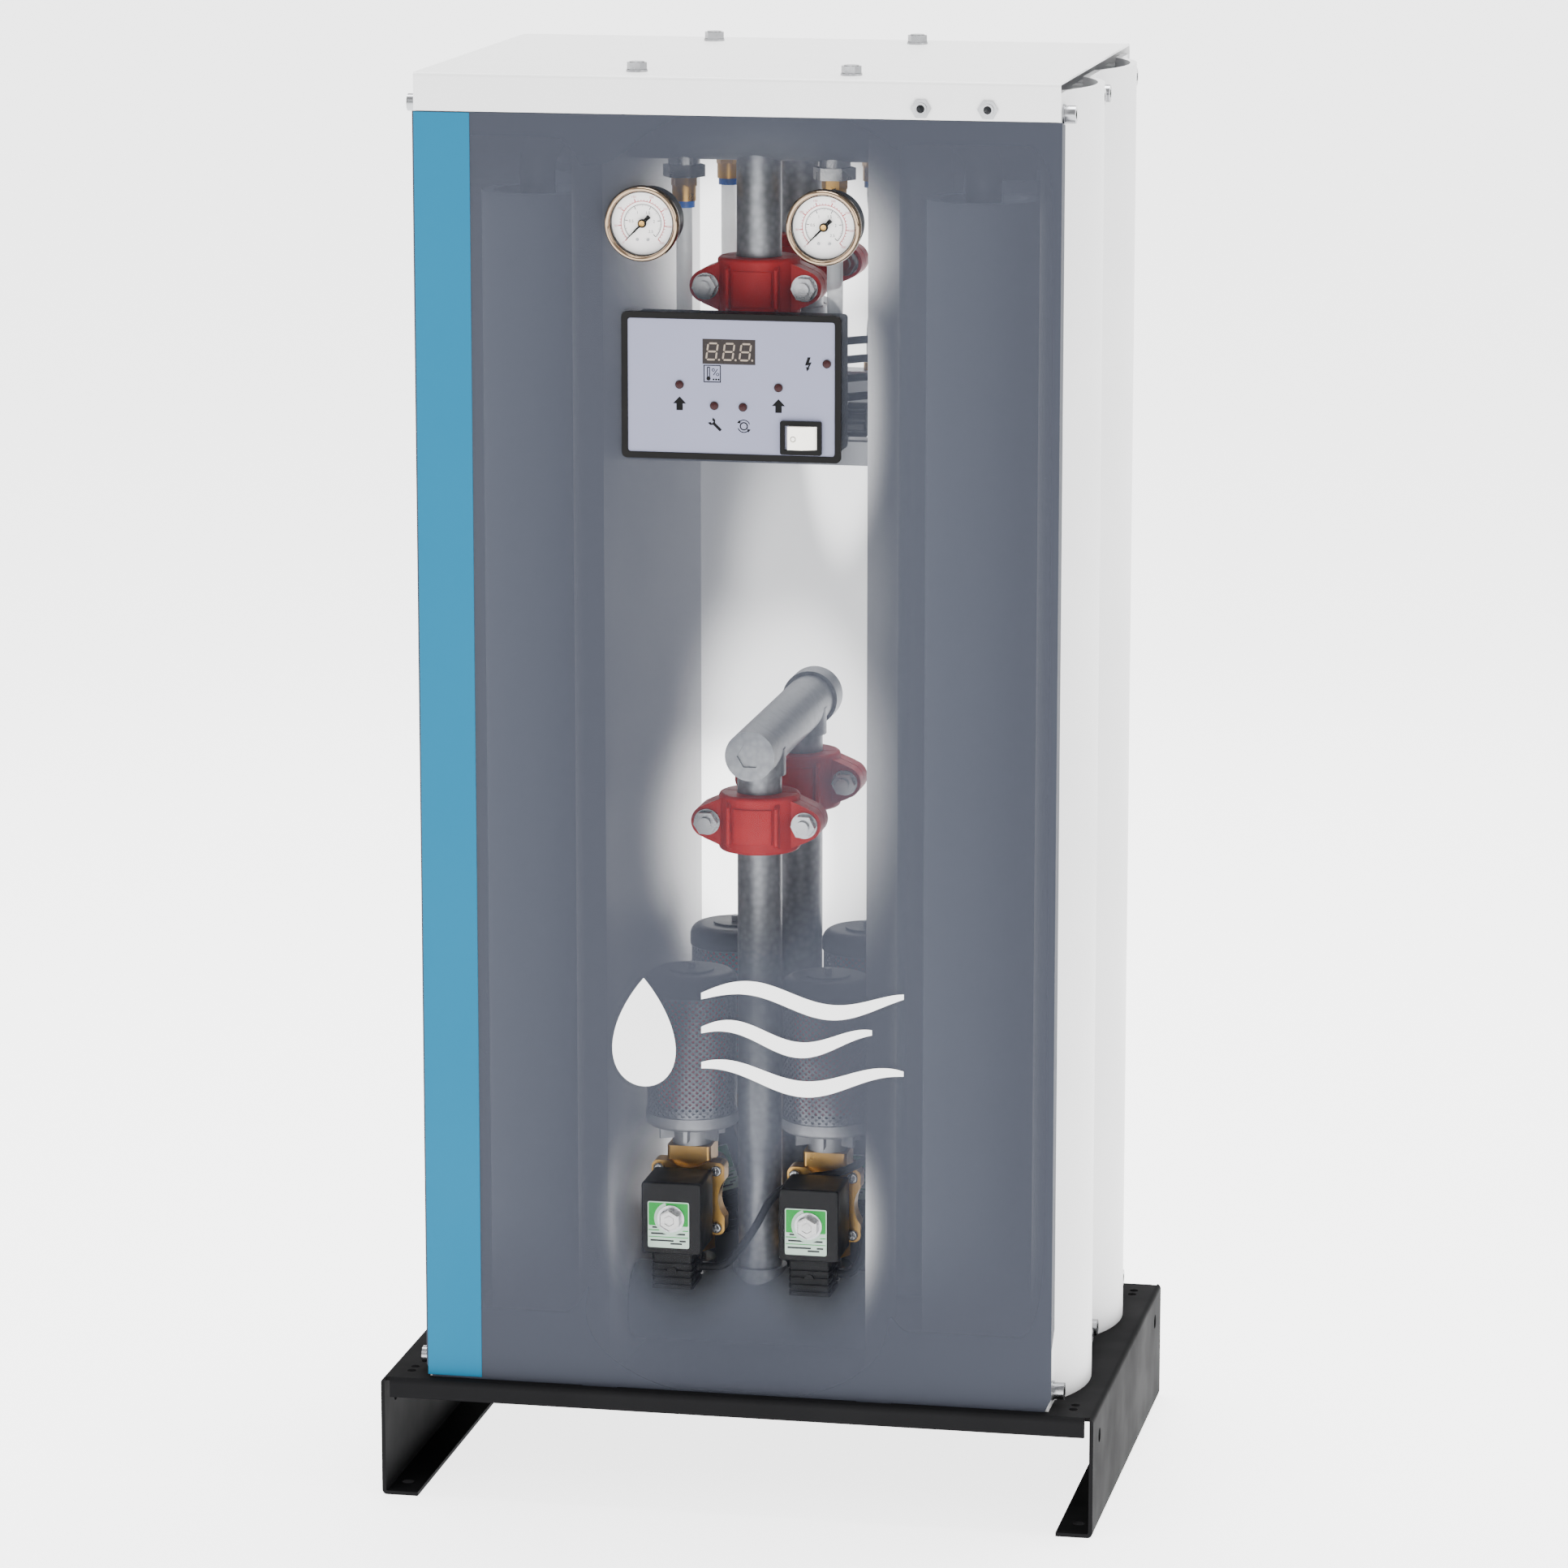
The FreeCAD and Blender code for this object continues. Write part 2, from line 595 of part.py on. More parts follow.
def end_plugs():
    """A recessed plug at each end of each tube, the upper one bored for its pipe."""
    pieces = []
    for x, y in tube_places():
        top = TUBE_TOP - PLUG_RECESS
        for low, bored in ((FLOOR_TOP, False), (top - PLUG_T, True)):
            plug = rod("z", x, y, BORE_R, low, low + PLUG_T)
            middle = low + PLUG_T / 2
            plug = plug.cut(ring("z", x, y, BORE_R + 1, BORE_R - SEAL_D * 0.8,
                                 middle - SEAL_D / 2, middle + SEAL_D / 2))
            if bored:
                plug = plug.cut(rod("z", x, y, TOWER_PIPE_R, low + 6, top + 1))
                plug = plug.cut(rod("z", x, y, TOWER_PIPE_R - TOWER_PIPE_WALL, low - 1, low + 7))
            pieces.append(plug)
    return group(pieces)


def plug_seals():
    pieces = []
    for x, y in tube_places():
        for low in (FLOOR_TOP, TUBE_TOP - PLUG_RECESS - PLUG_T):
            middle = low + PLUG_T / 2
            pieces.append(ring("z", x, y, BORE_R, BORE_R - SEAL_D * 0.8,
                               middle - SEAL_D / 2, middle + SEAL_D / 2))
    return group(pieces)


def desiccant_beds():
    low, high = bed_limits()
    return group([rod("z", x, y, BORE_R, low + SCREEN_T, high) for x, y in tube_places()])


def bed_screens():
    low, high = bed_limits()
    pieces = []
    for x, y in tube_places():
        holes = []
        for r, count in ((0.0, 1), (10.0, 6), (20.0, 10), (28.0, 14)):
            for i in range(count):
                t = 2 * pi * i / count
                holes.append((x + r * cos(t), y + r * sin(t)))
        for z in (low, high):
            disc = rod("z", x, y, BORE_R, z, z + SCREEN_T)
            pieces.append(disc.cut([rod("z", hx, hy, 1.6, z - 1, z + SCREEN_T + 1) for hx, hy in holes]))
    return pieces


def disc_spring(low, high):
    """A conical ring from its outer rim at one height to its inner rim at another, about the Z axis."""
    t = DISC_SPRING_T
    rise = t if high > low else -t
    outline = [V(DISC_SPRING_R[1], 0, low), V(DISC_SPRING_R[1], 0, low + rise),
               V(DISC_SPRING_R[0], 0, high), V(DISC_SPRING_R[0], 0, high - rise)]
    return Part.Face(Part.makePolygon(outline + outline[:1])).revolve(V(0, 0, 0), V(0, 0, 1), 360)


def bed_springs():
    """On each upper screen a spacer sleeve under a pair of disc springs, which keep the bed pressed down."""
    low = bed_limits()[1] + SCREEN_T
    high = low + BED_SPRING_L
    foot = high - 2 * DISC_SPRING_H
    pieces = []
    for x, y in tube_places():
        r = DISC_SPRING_R[1]
        pieces.append(ring("z", x, y, r, r - SPACER_WALL, low, foot))
        for disc in (disc_spring(foot, foot + DISC_SPRING_H), disc_spring(high, foot + DISC_SPRING_H)):
            pieces.append(disc.translated(V(x, y, 0)))
    return pieces


# ---------------------------------------------------------------- piping
def manifold(y, z, ports):
    """A closed header across the bay with two shuttle seats in it. Each port is (x, direction, bore radius)."""
    outer = rod("x", y, z, MANIFOLD_R, -MANIFOLD_END, MANIFOLD_END)
    outer = outer.makeFillet(4.0, [e for e in outer.Edges if e.Closed])
    inner_end = MANIFOLD_END - MANIFOLD_CAP
    near = SHUTTLE_DISC[1] + SHUTTLE_TRAVEL
    seats = [ring("x", y, z, MANIFOLD_R, SEAT_BORE_R, s * near, s * (near + SEAT_T)) for s in (-1, 1)]
    cuts = [rod("x", y, z, MANIFOLD_R - MANIFOLD_WALL, -inner_end, inner_end).cut(seats),
            rod("x", y, z, TOWER_PIPE_R, -MANIFOLD_END - 1, MANIFOLD_END + 1)]
    for x, direction, r in ports:
        cuts.append(rod("z", x, y, r, z, z + direction * (MANIFOLD_R + 5)))
    return outer.cut(cuts)


def lower_manifold(end):
    ports = [(RISER_X, 1, PIPE_R - PIPE_WALL), (-VALVE_X, 1, VALVE_BORE_R), (VALVE_X, 1, VALVE_BORE_R)]
    return manifold(end * MANIFOLD_Y, LOWER_MANIFOLD_Z, ports)


def upper_manifold(end):
    ports = [(RISER_X, -1, PIPE_R - PIPE_WALL), (-DROP_X, -1, 5.0), (DROP_X, -1, 5.0)]
    return manifold(end * MANIFOLD_Y, UPPER_MANIFOLD_Z, ports)


def tower_connections():
    """Elbows from the upper headers into the tube tops and straight pipes into the tube feet."""
    pieces = []
    start = MANIFOLD_END - MANIFOLD_CAP
    for sx in (-1, 1):
        for sy in (-1, 1):
            y = sy * MANIFOLD_Y
            foot = TUBE_TOP - PLUG_RECESS - PLUG_T + 6
            route = [V(sx * start, y, UPPER_MANIFOLD_Z), V(sx * (TUBE_X - ELBOW_R), y, UPPER_MANIFOLD_Z),
                     V(sx * TUBE_X, y, UPPER_MANIFOLD_Z - ELBOW_R), V(sx * TUBE_X, y, foot)]
            centre = V(sx * (TUBE_X - ELBOW_R), y, UPPER_MANIFOLD_Z - ELBOW_R)
            middle = centre + V(sx * ELBOW_R * sin(pi / 4), 0, ELBOW_R * cos(pi / 4))
            path = Part.Wire([Part.LineSegment(route[0], route[1]).toShape(),
                              Part.Arc(route[1], middle, route[2]).toShape(),
                              Part.LineSegment(route[2], route[3]).toShape()])
            skins = []
            for r in (TOWER_PIPE_R, TOWER_PIPE_R - TOWER_PIPE_WALL):
                profile = Part.Wire(Part.Circle(route[0], V(1, 0, 0), r).toShape())
                skins.append(path.makePipeShell([profile], True, False))
            pieces.append(skins[0].cut(skins[1]))
            pipe = ring("x", y, LOWER_MANIFOLD_Z, TOWER_PIPE_R, TOWER_PIPE_R - TOWER_PIPE_WALL,
                        sx * start, sx * (TUBE_X - BORE_R + 4))
            pieces.append(pipe.cut(rod("z", sx * TUBE_X, y, BORE_R + GAP, LOWER_MANIFOLD_Z - 30,
                                       LOWER_MANIFOLD_Z + 30)))
    return group(pieces)


def riser(y, start, end, saddle_z, saddle_r, saddle_axis):
    """A pipe between a coupling and a header or crossover, cut to sit on it, with its weld bead."""
    pipe = ring("z", RISER_X, y, PIPE_R, PIPE_R - PIPE_WALL, start, end)
    return pipe.cut(saddle(y, saddle_z, saddle_r, saddle_axis))


def saddle(y, z, r, axis):
    if axis == "x":
        return rod("x", y, z, r, -BAY_HALF, BAY_HALF)
    return rod("y", RISER_X, z, r, -CASE_D / 2, CASE_D / 2)


def grooved(pipe, y, end_z, direction):
    """The roll groove near a pipe's end that the coupling's keys grip."""
    a = end_z + direction * 14.0
    b = end_z + direction * 19.0
    return pipe.cut(ring("z", RISER_X, y, PIPE_R + 1, PIPE_R - 1.6, a, b))


def risers():
    pieces = []
    for end in (-1, 1):
        y = end * MANIFOLD_Y
        lower_end = LOWER_COUPLING_Z - PIPE_END_GAP / 2
        lower = riser(y, LOWER_MANIFOLD_Z, lower_end, LOWER_MANIFOLD_Z, MANIFOLD_R, "x")
        bead = ring("z", RISER_X, y, PIPE_R + 4, PIPE_R - 1,
                    LOWER_MANIFOLD_Z, LOWER_MANIFOLD_Z + MANIFOLD_R + 3)
        bead = bead.cut(saddle(y, LOWER_MANIFOLD_Z, MANIFOLD_R, "x"))
        pieces.append(join([grooved(lower, y, lower_end, -1), bead]))
        upper_end = UPPER_COUPLING_Z + PIPE_END_GAP / 2
        upper = riser(y, upper_end, UPPER_MANIFOLD_Z, UPPER_MANIFOLD_Z, MANIFOLD_R, "x")
        pieces.append(grooved(upper, y, upper_end, 1))
    return group(pieces)


def crossover(z, coupling_z):
    """The pipe that joins the front and rear risers: capped at the front, threaded at the back."""
    toward = 1 if coupling_z > z else -1
    body = rod("y", RISER_X, z, CROSSOVER_R, -CROSSOVER_HALF, CROSSOVER_HALF)
    socket = rod("y", RISER_X, z, PORT_SOCKET_OD / 2, CROSSOVER_HALF - 4, CROSSOVER_HALF + PORT_DEPTH)
    pieces = [body, socket]
    for end in (-1, 1):
        y = end * MANIFOLD_Y
        stub_end = coupling_z - toward * PIPE_END_GAP / 2
        pieces.append(grooved(rod("z", RISER_X, y, PIPE_R, z, stub_end), y, stub_end, -toward))
        bead = rod("z", RISER_X, y, PIPE_R + 3, z, z + toward * (CROSSOVER_R + 1.5))
        pieces.append(bead)
    cap_mark = hexagon("y", RISER_X, z, 17.0, -CROSSOVER_HALF - 1, -CROSSOVER_HALF + 2)
    hollow = [rod("y", RISER_X, z, CROSSOVER_R - CROSSOVER_WALL, -CROSSOVER_HALF + 6, CROSSOVER_HALF + 1),
              rod("y", RISER_X, z, PORT_THREAD_D / 2, CROSSOVER_HALF, CROSSOVER_HALF + PORT_DEPTH + 1),
              cap_mark]
    for end in (-1, 1):
        hollow.append(rod("z", RISER_X, end * MANIFOLD_Y, PIPE_R - PIPE_WALL, z, coupling_z))
    return join(pieces).cut(hollow)


def coupling_places():
    return [(end * MANIFOLD_Y, z) for z in (UPPER_COUPLING_Z, LOWER_COUPLING_Z) for end in (-1, 1)]


def lug_places():
    return (RISER_X - COUPLING_LUG_X, RISER_X + COUPLING_LUG_X)


def coupling_halves():
    """Each coupling is two cast halves bolted together round the pipe ends."""
    pieces = []
    for y, z in coupling_places():
        body = rod("z", RISER_X, y, COUPLING_BODY_R, z - COUPLING_H / 2, z + COUPLING_H / 2)
        body = body.makeFillet(3.0, [e for e in body.Edges if e.Closed])
        web = [(-COUPLING_BODY_R + 6, COUPLING_H / 2 - 3), (COUPLING_BODY_R - 6, COUPLING_H / 2 - 3),
               (COUPLING_LUG_X + 3, COUPLING_LUG_R), (COUPLING_LUG_X + 3, -COUPLING_LUG_R),
               (COUPLING_BODY_R - 6, 3 - COUPLING_H / 2), (6 - COUPLING_BODY_R, 3 - COUPLING_H / 2),
               (-COUPLING_LUG_X - 3, -COUPLING_LUG_R), (-COUPLING_LUG_X - 3, COUPLING_LUG_R)]
        web = prism("y", [(RISER_X + a, z + b) for a, b in web], y - COUPLING_LUG_Y, y + COUPLING_LUG_Y)
        lugs = [rod("y", x, z, COUPLING_LUG_R, y - COUPLING_LUG_Y, y + COUPLING_LUG_Y) for x in lug_places()]
        whole = join([body, web] + lugs)
        cuts = [rod("z", RISER_X, y, PIPE_R + GAP, z - COUPLING_H, z + COUPLING_H),
                rod("z", RISER_X, y, GASKET_OD / 2, z - GASKET_H / 2, z + GASKET_H / 2)]
        cuts += [rod("y", x, z, COUPLING_BOLT_D / 2 + GAP, y - 40, y + 40) for x in lug_places()]
        whole = whole.cut(cuts)
        reach = BAY_HALF
        for s in (-1, 1):
            half = box((-reach, reach), (y + s * COUPLING_SPLIT / 2, y + s * 60), (z - 60, z + 60))
            pieces.append(whole.common(half))
    return group(pieces)


def coupling_gaskets():
    pieces = []
    for y, z in coupling_places():
        body = rod("z", RISER_X, y, GASKET_OD / 2, z - GASKET_H / 2, z + GASKET_H / 2)
        body = body.cut([rod("z", RISER_X, y, PIPE_R, z - GASKET_H, z + GASKET_H),
                         rod("z", RISER_X, y, PIPE_R + 2.5, z - GASKET_H / 4, z + GASKET_H / 4)])
        pieces.append(body)
    return group(pieces)


def coupling_fasteners():
    """Two bolts for each coupling, nuts to the front."""
    bolts = []
    nuts = []
    for y, z in coupling_places():
        for x in lug_places():
            back = y + COUPLING_LUG_Y
            front = y - COUPLING_LUG_Y
            head = rod("y", x, z, 8.5, back, back + 6)
            head = head.makeFillet(2.0, [e for e in head.Edges if e.Closed and e.CenterOfMass.y > back + 5])
            shank = rod("y", x, z, COUPLING_BOLT_D / 2, front - COUPLING_NUT_H - 3.5, back)
            bolts.append(join([head, shank]))
            nut = hexagon("y", x, z, COUPLING_NUT_AF, front - COUPLING_NUT_H, front, 0.25 * x)
            collar = rod("y", x, z, 10.0, front - 1.8, front)
            nuts.append(join([nut, collar]).cut(rod("y", x, z, COUPLING_BOLT_D / 2, front - 30, front + 1)))
    return group(bolts + nuts)


# ---------------------------------------------------------------- valves and silencers
def bonnet_corners(x):
    half = BONNET_PITCH / 2
    return [(x + sx * half, VALVE_Z + sz * half) for sx in (-1, 1) for sz in (-1, 1)]


def flange_plate(x, y0, y1):
    half = BONNET / 2
    plate = box((x - half, x + half), (y0, y1), (VALVE_Z - half, VALVE_Z + half))
    waists = [rod("y", x + sx * (half + 19), VALVE_Z, 24.0, y0 - 1, y1 + 1) for sx in (-1, 1)]
    waists += [rod("y", x, VALVE_Z + sz * (half + 19), 24.0, y0 - 1, y1 + 1) for sz in (-1, 1)]
    return rounded(plate, 5.0, "y").cut(waists)


def valve_body(x, y):
    """A cast body with a flange to the front and a port block above and below."""
    rear_of_bonnet = y - BONNET_FRONT + BONNET_T
    flange = flange_plate(x, rear_of_bonnet, rear_of_bonnet + 8)
    bowl = rod("y", x, VALVE_Z, VALVE_BODY_R, rear_of_bonnet, y + VALVE_BODY_R - 3)
    bowl = bowl.makeFillet(6.0, [e for e in bowl.Edges if e.Closed and e.CenterOfMass.y > y])
    neck = rod("z", x, y + 2, VALVE_PORT_R, VALVE_BOTTOM, VALVE_TOP)
    block = box((x - 17, x + 17), (y + 2 - 16, y + 2 + 16), (VALVE_TOP - 14, VALVE_TOP))
    foot = hexagon("z", x, y + 2, 30.0, VALVE_BOTTOM, VALVE_BOTTOM + 12)
    body = join([flange, bowl, neck, rounded(block, 3.0, "z"), foot])
    bores = [rod("z", x, y, VALVE_BORE_R, VALVE_BOTTOM - 1, VALVE_TOP + 1),
             rod("y", x, VALVE_Z, VALVE_BORE_R + 1, rear_of_bonnet - 1, y + 2)]
    bores += [rod("y", a, b, BONNET_SCREW_D / 2, rear_of_bonnet - 1, rear_of_bonnet + 9)
              for a, b in bonnet_corners(x)]
    bores += [rod("z", x, y, NIPPLE_R, VALVE_TOP - 8, VALVE_TOP + 1),
              rod("z", x, y, NIPPLE_R, VALVE_BOTTOM - 1, VALVE_BOTTOM + 8)]
    half = BONNET / 2 + GAP
    bores.append(box((x - half, x + half), (rear_of_bonnet - 20, rear_of_bonnet),
                     (VALVE_Z - half, VALVE_Z + half)))
    return body.cut(bores)


def coil_span(y):
    back = y - BONNET_FRONT - COIL_GAP
    return back - COIL_D, back


def valve_bonnet(x, y):
    """The bonnet plate with the closed guide tube that carries the coil."""
    front = y - BONNET_FRONT
    plate = flange_plate(x, front, front + BONNET_T)
    hub = rod("y", x, VALVE_Z, 13.0, front - 6, front)
    guide_end = coil_span(y)[0] - COIL_NUT_T - 1
    guide = rod("y", x, VALVE_Z, ARMATURE_R, guide_end, front)
    guide = guide.makeChamfer(1.0, [e for e in guide.Edges if e.Closed and e.CenterOfMass.y < guide_end + 1])
    bore = rod("y", x, VALVE_Z, PLUNGER_R + GAP, guide_end + 4, front + BONNET_T + 1)
    holes = [rod("y", a, b, BONNET_SCREW_D / 2 + GAP, front - 1, front + BONNET_T + 1)
             for a, b in bonnet_corners(x)]
    return join([plate, hub, guide]).cut([bore] + holes)


def bonnet_screws(x, y):
    """Four cross-recessed screws and the nut that holds the coil."""
    pieces = []
    front = y - BONNET_FRONT
    for a, b in bonnet_corners(x):
        head = rod("y", a, b, BONNET_SCREW_HEAD_D / 2, front - 4, front)
        head = head.makeFillet(1.5, [e for e in head.Edges if e.Closed and e.CenterOfMass.y < front - 3])
        slots = [box((a - 2.6, a + 2.6), (front - 5, front - 2.2), (b - 0.5, b + 0.5)),
                 box((a - 0.5, a + 0.5), (front - 5, front - 2.2), (b - 2.6, b + 2.6))]
        shank = rod("y", a, b, BONNET_SCREW_D / 2, front, front + BONNET_T + 7)
        pieces.append(join([head, shank]).cut(slots))
    coil_front = coil_span(y)[0]
    nut = hexagon("y", x, VALVE_Z, COIL_NUT_AF, coil_front - COIL_NUT_T, coil_front, 0.3)
    washer = rod("y", x, VALVE_Z, 10.5, coil_front - 1.2, coil_front)
    pieces.append(join([nut, washer]).cut(rod("y", x, VALVE_Z, ARMATURE_R, coil_front - 10, coil_front + 1)))
    return pieces


def tilted(shape, name, x, y):
    """Turns a coil and its plug about the guide tube, as the fitter left it."""
    turn = COIL_TILT.get(name, 0.0)
    if turn:
        shape = shape.copy()
        shape.rotate(V(x, y, VALVE_Z), V(0, 1, 0), turn)
    return shape


def valve_coil(name, x, y):
    front, back = coil_span(y)
    body = box((x - COIL_W / 2, x + COIL_W / 2), (front, back), (VALVE_Z - COIL_H / 2, VALVE_Z + COIL_H / 2))
    body = rounded(body, 3.0, "y")
    body = body.makeFillet(1.5, [e for e in body.Edges if abs(e.CenterOfMass.y - front) < 1e-6])
    return tilted(body.cut(rod("y", x, VALVE_Z, ARMATURE_R, front - 1, back + 1)), name, x, y)


def coil_plug(name, x, y):
    """The ribbed connector plugged in under the coil, with its gland to the right."""
    front = coil_span(y)[0] + 3
    top = VALVE_Z - COIL_H / 2
    body = rounded(box((x - DIN_W / 2, x + DIN_W / 2), (front, front + DIN_D), (top - DIN_H, top)), 3.0, "z")
    ribs = []
    for i in range(4):
        z = top - 7 - i * 5.5
        slot = box((x - DIN_W, x + DIN_W), (front - 1, front + DIN_D + 1), (z - 1.2, z + 1.2))
        keep = box((x - DIN_W / 2 + DIN_RIB, x + DIN_W / 2 - DIN_RIB),
                   (front + DIN_RIB, front + DIN_D - DIN_RIB), (z - 2, z + 2))
        ribs.append(slot.cut(keep))
    shape = body.cut(ribs)
    gland = rod("x", front + DIN_D / 2, top - DIN_H / 2, GLAND_D / 2 - 1,
                x + DIN_W / 2 - 1.5, x + DIN_W / 2 + DIN_GLAND_L)
    screw = rod("y", x, top - DIN_H / 2, 3.5, front - 1.2, front + 2)
    return tilted(join([shape, gland, screw]), name, x, y)


def valve_plunger(x, y):
    """The armature: it lifts off the seat towards the coil."""
    tip = y - 1.0
    rear = rod("y", x, VALVE_Z, VALVE_BORE_R - 1, tip - 4, tip)
    stem = rod("y", x, VALVE_Z, PLUNGER_R, coil_span(y)[0] + PLUNGER_TRAVEL, tip)
    return join([rear, stem])


def valve_nipples(x, y):
    """The threaded pipe from the header into the valve and the one from the valve to the silencer."""
    low_end = VALVE_BOTTOM + 8
    lower = ring("z", x, y, NIPPLE_R, VALVE_BORE_R, LOWER_MANIFOLD_Z, low_end)
    collar = ring("z", x, y, NIPPLE_R + 8, NIPPLE_R - 1, LOWER_MANIFOLD_Z, LOWER_MANIFOLD_Z + MANIFOLD_R + 6)
    lower = join([lower, collar]).cut(rod("x", y, LOWER_MANIFOLD_Z, MANIFOLD_R, x - 40, x + 40))
    upper = ring("z", x, y, NIPPLE_R, VALVE_BORE_R, VALVE_TOP - 8, SILENCER_BOTTOM)
    return [lower, upper]


def silencer(x, y):
    """Base with its ribbed hub, perforated jacket, filter element and domed cap with a tie stud."""
    rim_top = SILENCER_BOTTOM + SILENCER_RIM
    cap_foot = SILENCER_TOP - SILENCER_CAP
    rim = rod("z", x, y, SILENCER_R, SILENCER_BOTTOM + 2, rim_top)
    rim = rim.makeFillet(3.0, [e for e in rim.Edges if e.Closed and e.CenterOfMass.z < rim_top - 1])
    hub = rod("z", x, y, 15.0, VALVE_TOP + GAP, SILENCER_BOTTOM + 3)
    ribs = []
    for i in range(6):
        rib = box((x - 1.5, x + 1.5), (y, y + 26), (VALVE_TOP + 5, SILENCER_BOTTOM + 3)).copy()
        rib.rotate(V(x, y, 0), V(0, 0, 1), 60 * i)
        ribs.append(rib)
    seat = ring("z", x, y, SILENCER_R - 4, SILENCER_R - 8, rim_top - 1, rim_top + 5)
    stud = rod("z", x, y, 3.0, SILENCER_BOTTOM + 8, SILENCER_TOP + 2)
    base = join([rim, hub] + ribs + [seat, stud])
    base = base.cut(rod("z", x, y, NIPPLE_R, VALVE_TOP, SILENCER_BOTTOM))
    base = base.cut(ring("z", x, y, VALVE_BORE_R, 4.0, SILENCER_BOTTOM - 1, rim_top + 1))
    bridge = box((x - VALVE_BORE_R, x + VALVE_BORE_R), (y - 1.5, y + 1.5), (SILENCER_BOTTOM + 8, rim_top))
    base = join([base, bridge])
    base = base.cut(ring("z", x, y, 3.6, 3.0, rim_top + 1, SILENCER_TOP + 3))
    jacket = ring("z", x, y, SILENCER_R - 1, SILENCER_R - 1 - MESH_T, rim_top, cap_foot)
    element_r = SILENCER_R - 5 - MESH_T - 3
    element = ring("z", x, y, element_r, element_r - ELEMENT_T, rim_top + 6, cap_foot - 1)
    cap = rod("z", x, y, SILENCER_R, cap_foot, SILENCER_TOP - 4)
    cap = cap.makeFillet(9.0, [e for e in cap.Edges if e.Closed and e.CenterOfMass.z > SILENCER_TOP - 5])
    disc = rod("z", x, y, 17.0, SILENCER_TOP - 5, SILENCER_TOP - 2.5)
    cap = join([cap, disc]).cut(rod("z", x, y, 3.0, cap_foot - 1, SILENCER_TOP + 1))
    cap = cap.cut(ring("z", x, y, SILENCER_R - 3, 6.0, cap_foot - 1, cap_foot + 6))
    return base, jacket, element, cap


# ---------------------------------------------------------------- gauges
def gauge(side):
    x, z = side * GAUGE_X, GAUGE_Z
    r = GAUGE_CASE_D / 2
    back = PANEL_FRONT + GAUGE_CASE_L
    case = rod("y", x, z, r, PANEL_FRONT - GAUGE_BEZEL_H + 3, back)
    case = case.makeFillet(4.0, [e for e in case.Edges if e.Closed and e.CenterOfMass.y > back - 1])
    case = case.cut(rod("y", x, z, r - 1.5, PANEL_FRONT - GAUGE_BEZEL_H, back - 6))
    stem = rod("y", x, z, 5.0, back - 1, back + 12)
    wrench_flats = box((x - 6, x + 6), (back - 1, back + 5), (z - 6, z + 6))
    post = rod("y", x, z, 1.2, dial_y() + 1.5, back - 5)
    case = join([case, stem, wrench_flats, post])
    bezel = ring("y", x, z, GAUGE_BEZEL_D / 2, r, PANEL_FRONT - GAUGE_BEZEL_H + 2, PANEL_FRONT)
    lip = ring("y", x, z, GAUGE_BEZEL_D / 2 - 1, r - 2.5,
               PANEL_FRONT - GAUGE_BEZEL_H, PANEL_FRONT - GAUGE_BEZEL_H + 2)
    bezel = join([bezel, lip])
    front_edges = [e for e in bezel.Edges if e.Closed and e.CenterOfMass.y < PANEL_FRONT - GAUGE_BEZEL_H + 0.1]
    bezel = bezel.makeFillet(0.8, front_edges)
    dial = ring("y", x, z, r - 1.5, 1.4, dial_y(), dial_y() + 1)
    lens = rod("y", x, z, r, PANEL_FRONT - GAUGE_BEZEL_H + 2, PANEL_FRONT - GAUGE_BEZEL_H + 3)
    return case, bezel, dial, lens


def dial_y():
    return PANEL_FRONT - GAUGE_BEZEL_H + 7.0


def gauge_needle(side):
    """A balanced pointer on its hub, at the zero of the scale, lower left."""
    x, z = side * GAUGE_X, GAUGE_Z
    y0, y1 = dial_y() - 2.2, dial_y() - 1.4
    t = -3 * pi / 4
    along = V(cos(t), 0, sin(t))
    across = V(-sin(t), 0, cos(t))
    centre = V(x, y0, z)
    outline = [(-7.5, 1.6), (-7.5, -1.6), (0, -0.9), (17.0, -0.25), (17.0, 0.25), (0, 0.9)]
    points = [centre + along * a + across * b for a, b in outline]
    pointer = Part.Face(Part.makePolygon(points + points[:1])).extrude(V(0, y1 - y0, 0))
    hub = rod("y", x, z, 3.2, y0 - 0.6, y1)
    arbor = rod("y", x, z, 0.9, y1, dial_y() + 1.2)
    return join([pointer, hub, arbor])


# ---------------------------------------------------------------- controller
def controller_span(inset):
    return (CONTROLLER_X - CONTROLLER_W / 2 + inset, CONTROLLER_X + CONTROLLER_W / 2 - inset)


def controller_rise(inset):
    return (CONTROLLER_Z - CONTROLLER_H / 2 + inset, CONTROLLER_Z + CONTROLLER_H / 2 - inset)


def face_window(at, w, h, y0, y1):
    """A block behind a window of the controller's face, centred at an offset from its middle."""
    x, z = CONTROLLER_X + at[0], CONTROLLER_Z + at[1]
    return box((x - w / 2, x + w / 2), (y0, y1), (z - h / 2, z + h / 2))


def lamp_rods(r, y0, y1):
    return [rod("y", CONTROLLER_X + a, CONTROLLER_Z + b, r, y0, y1) for a, b in LAMP_AT]


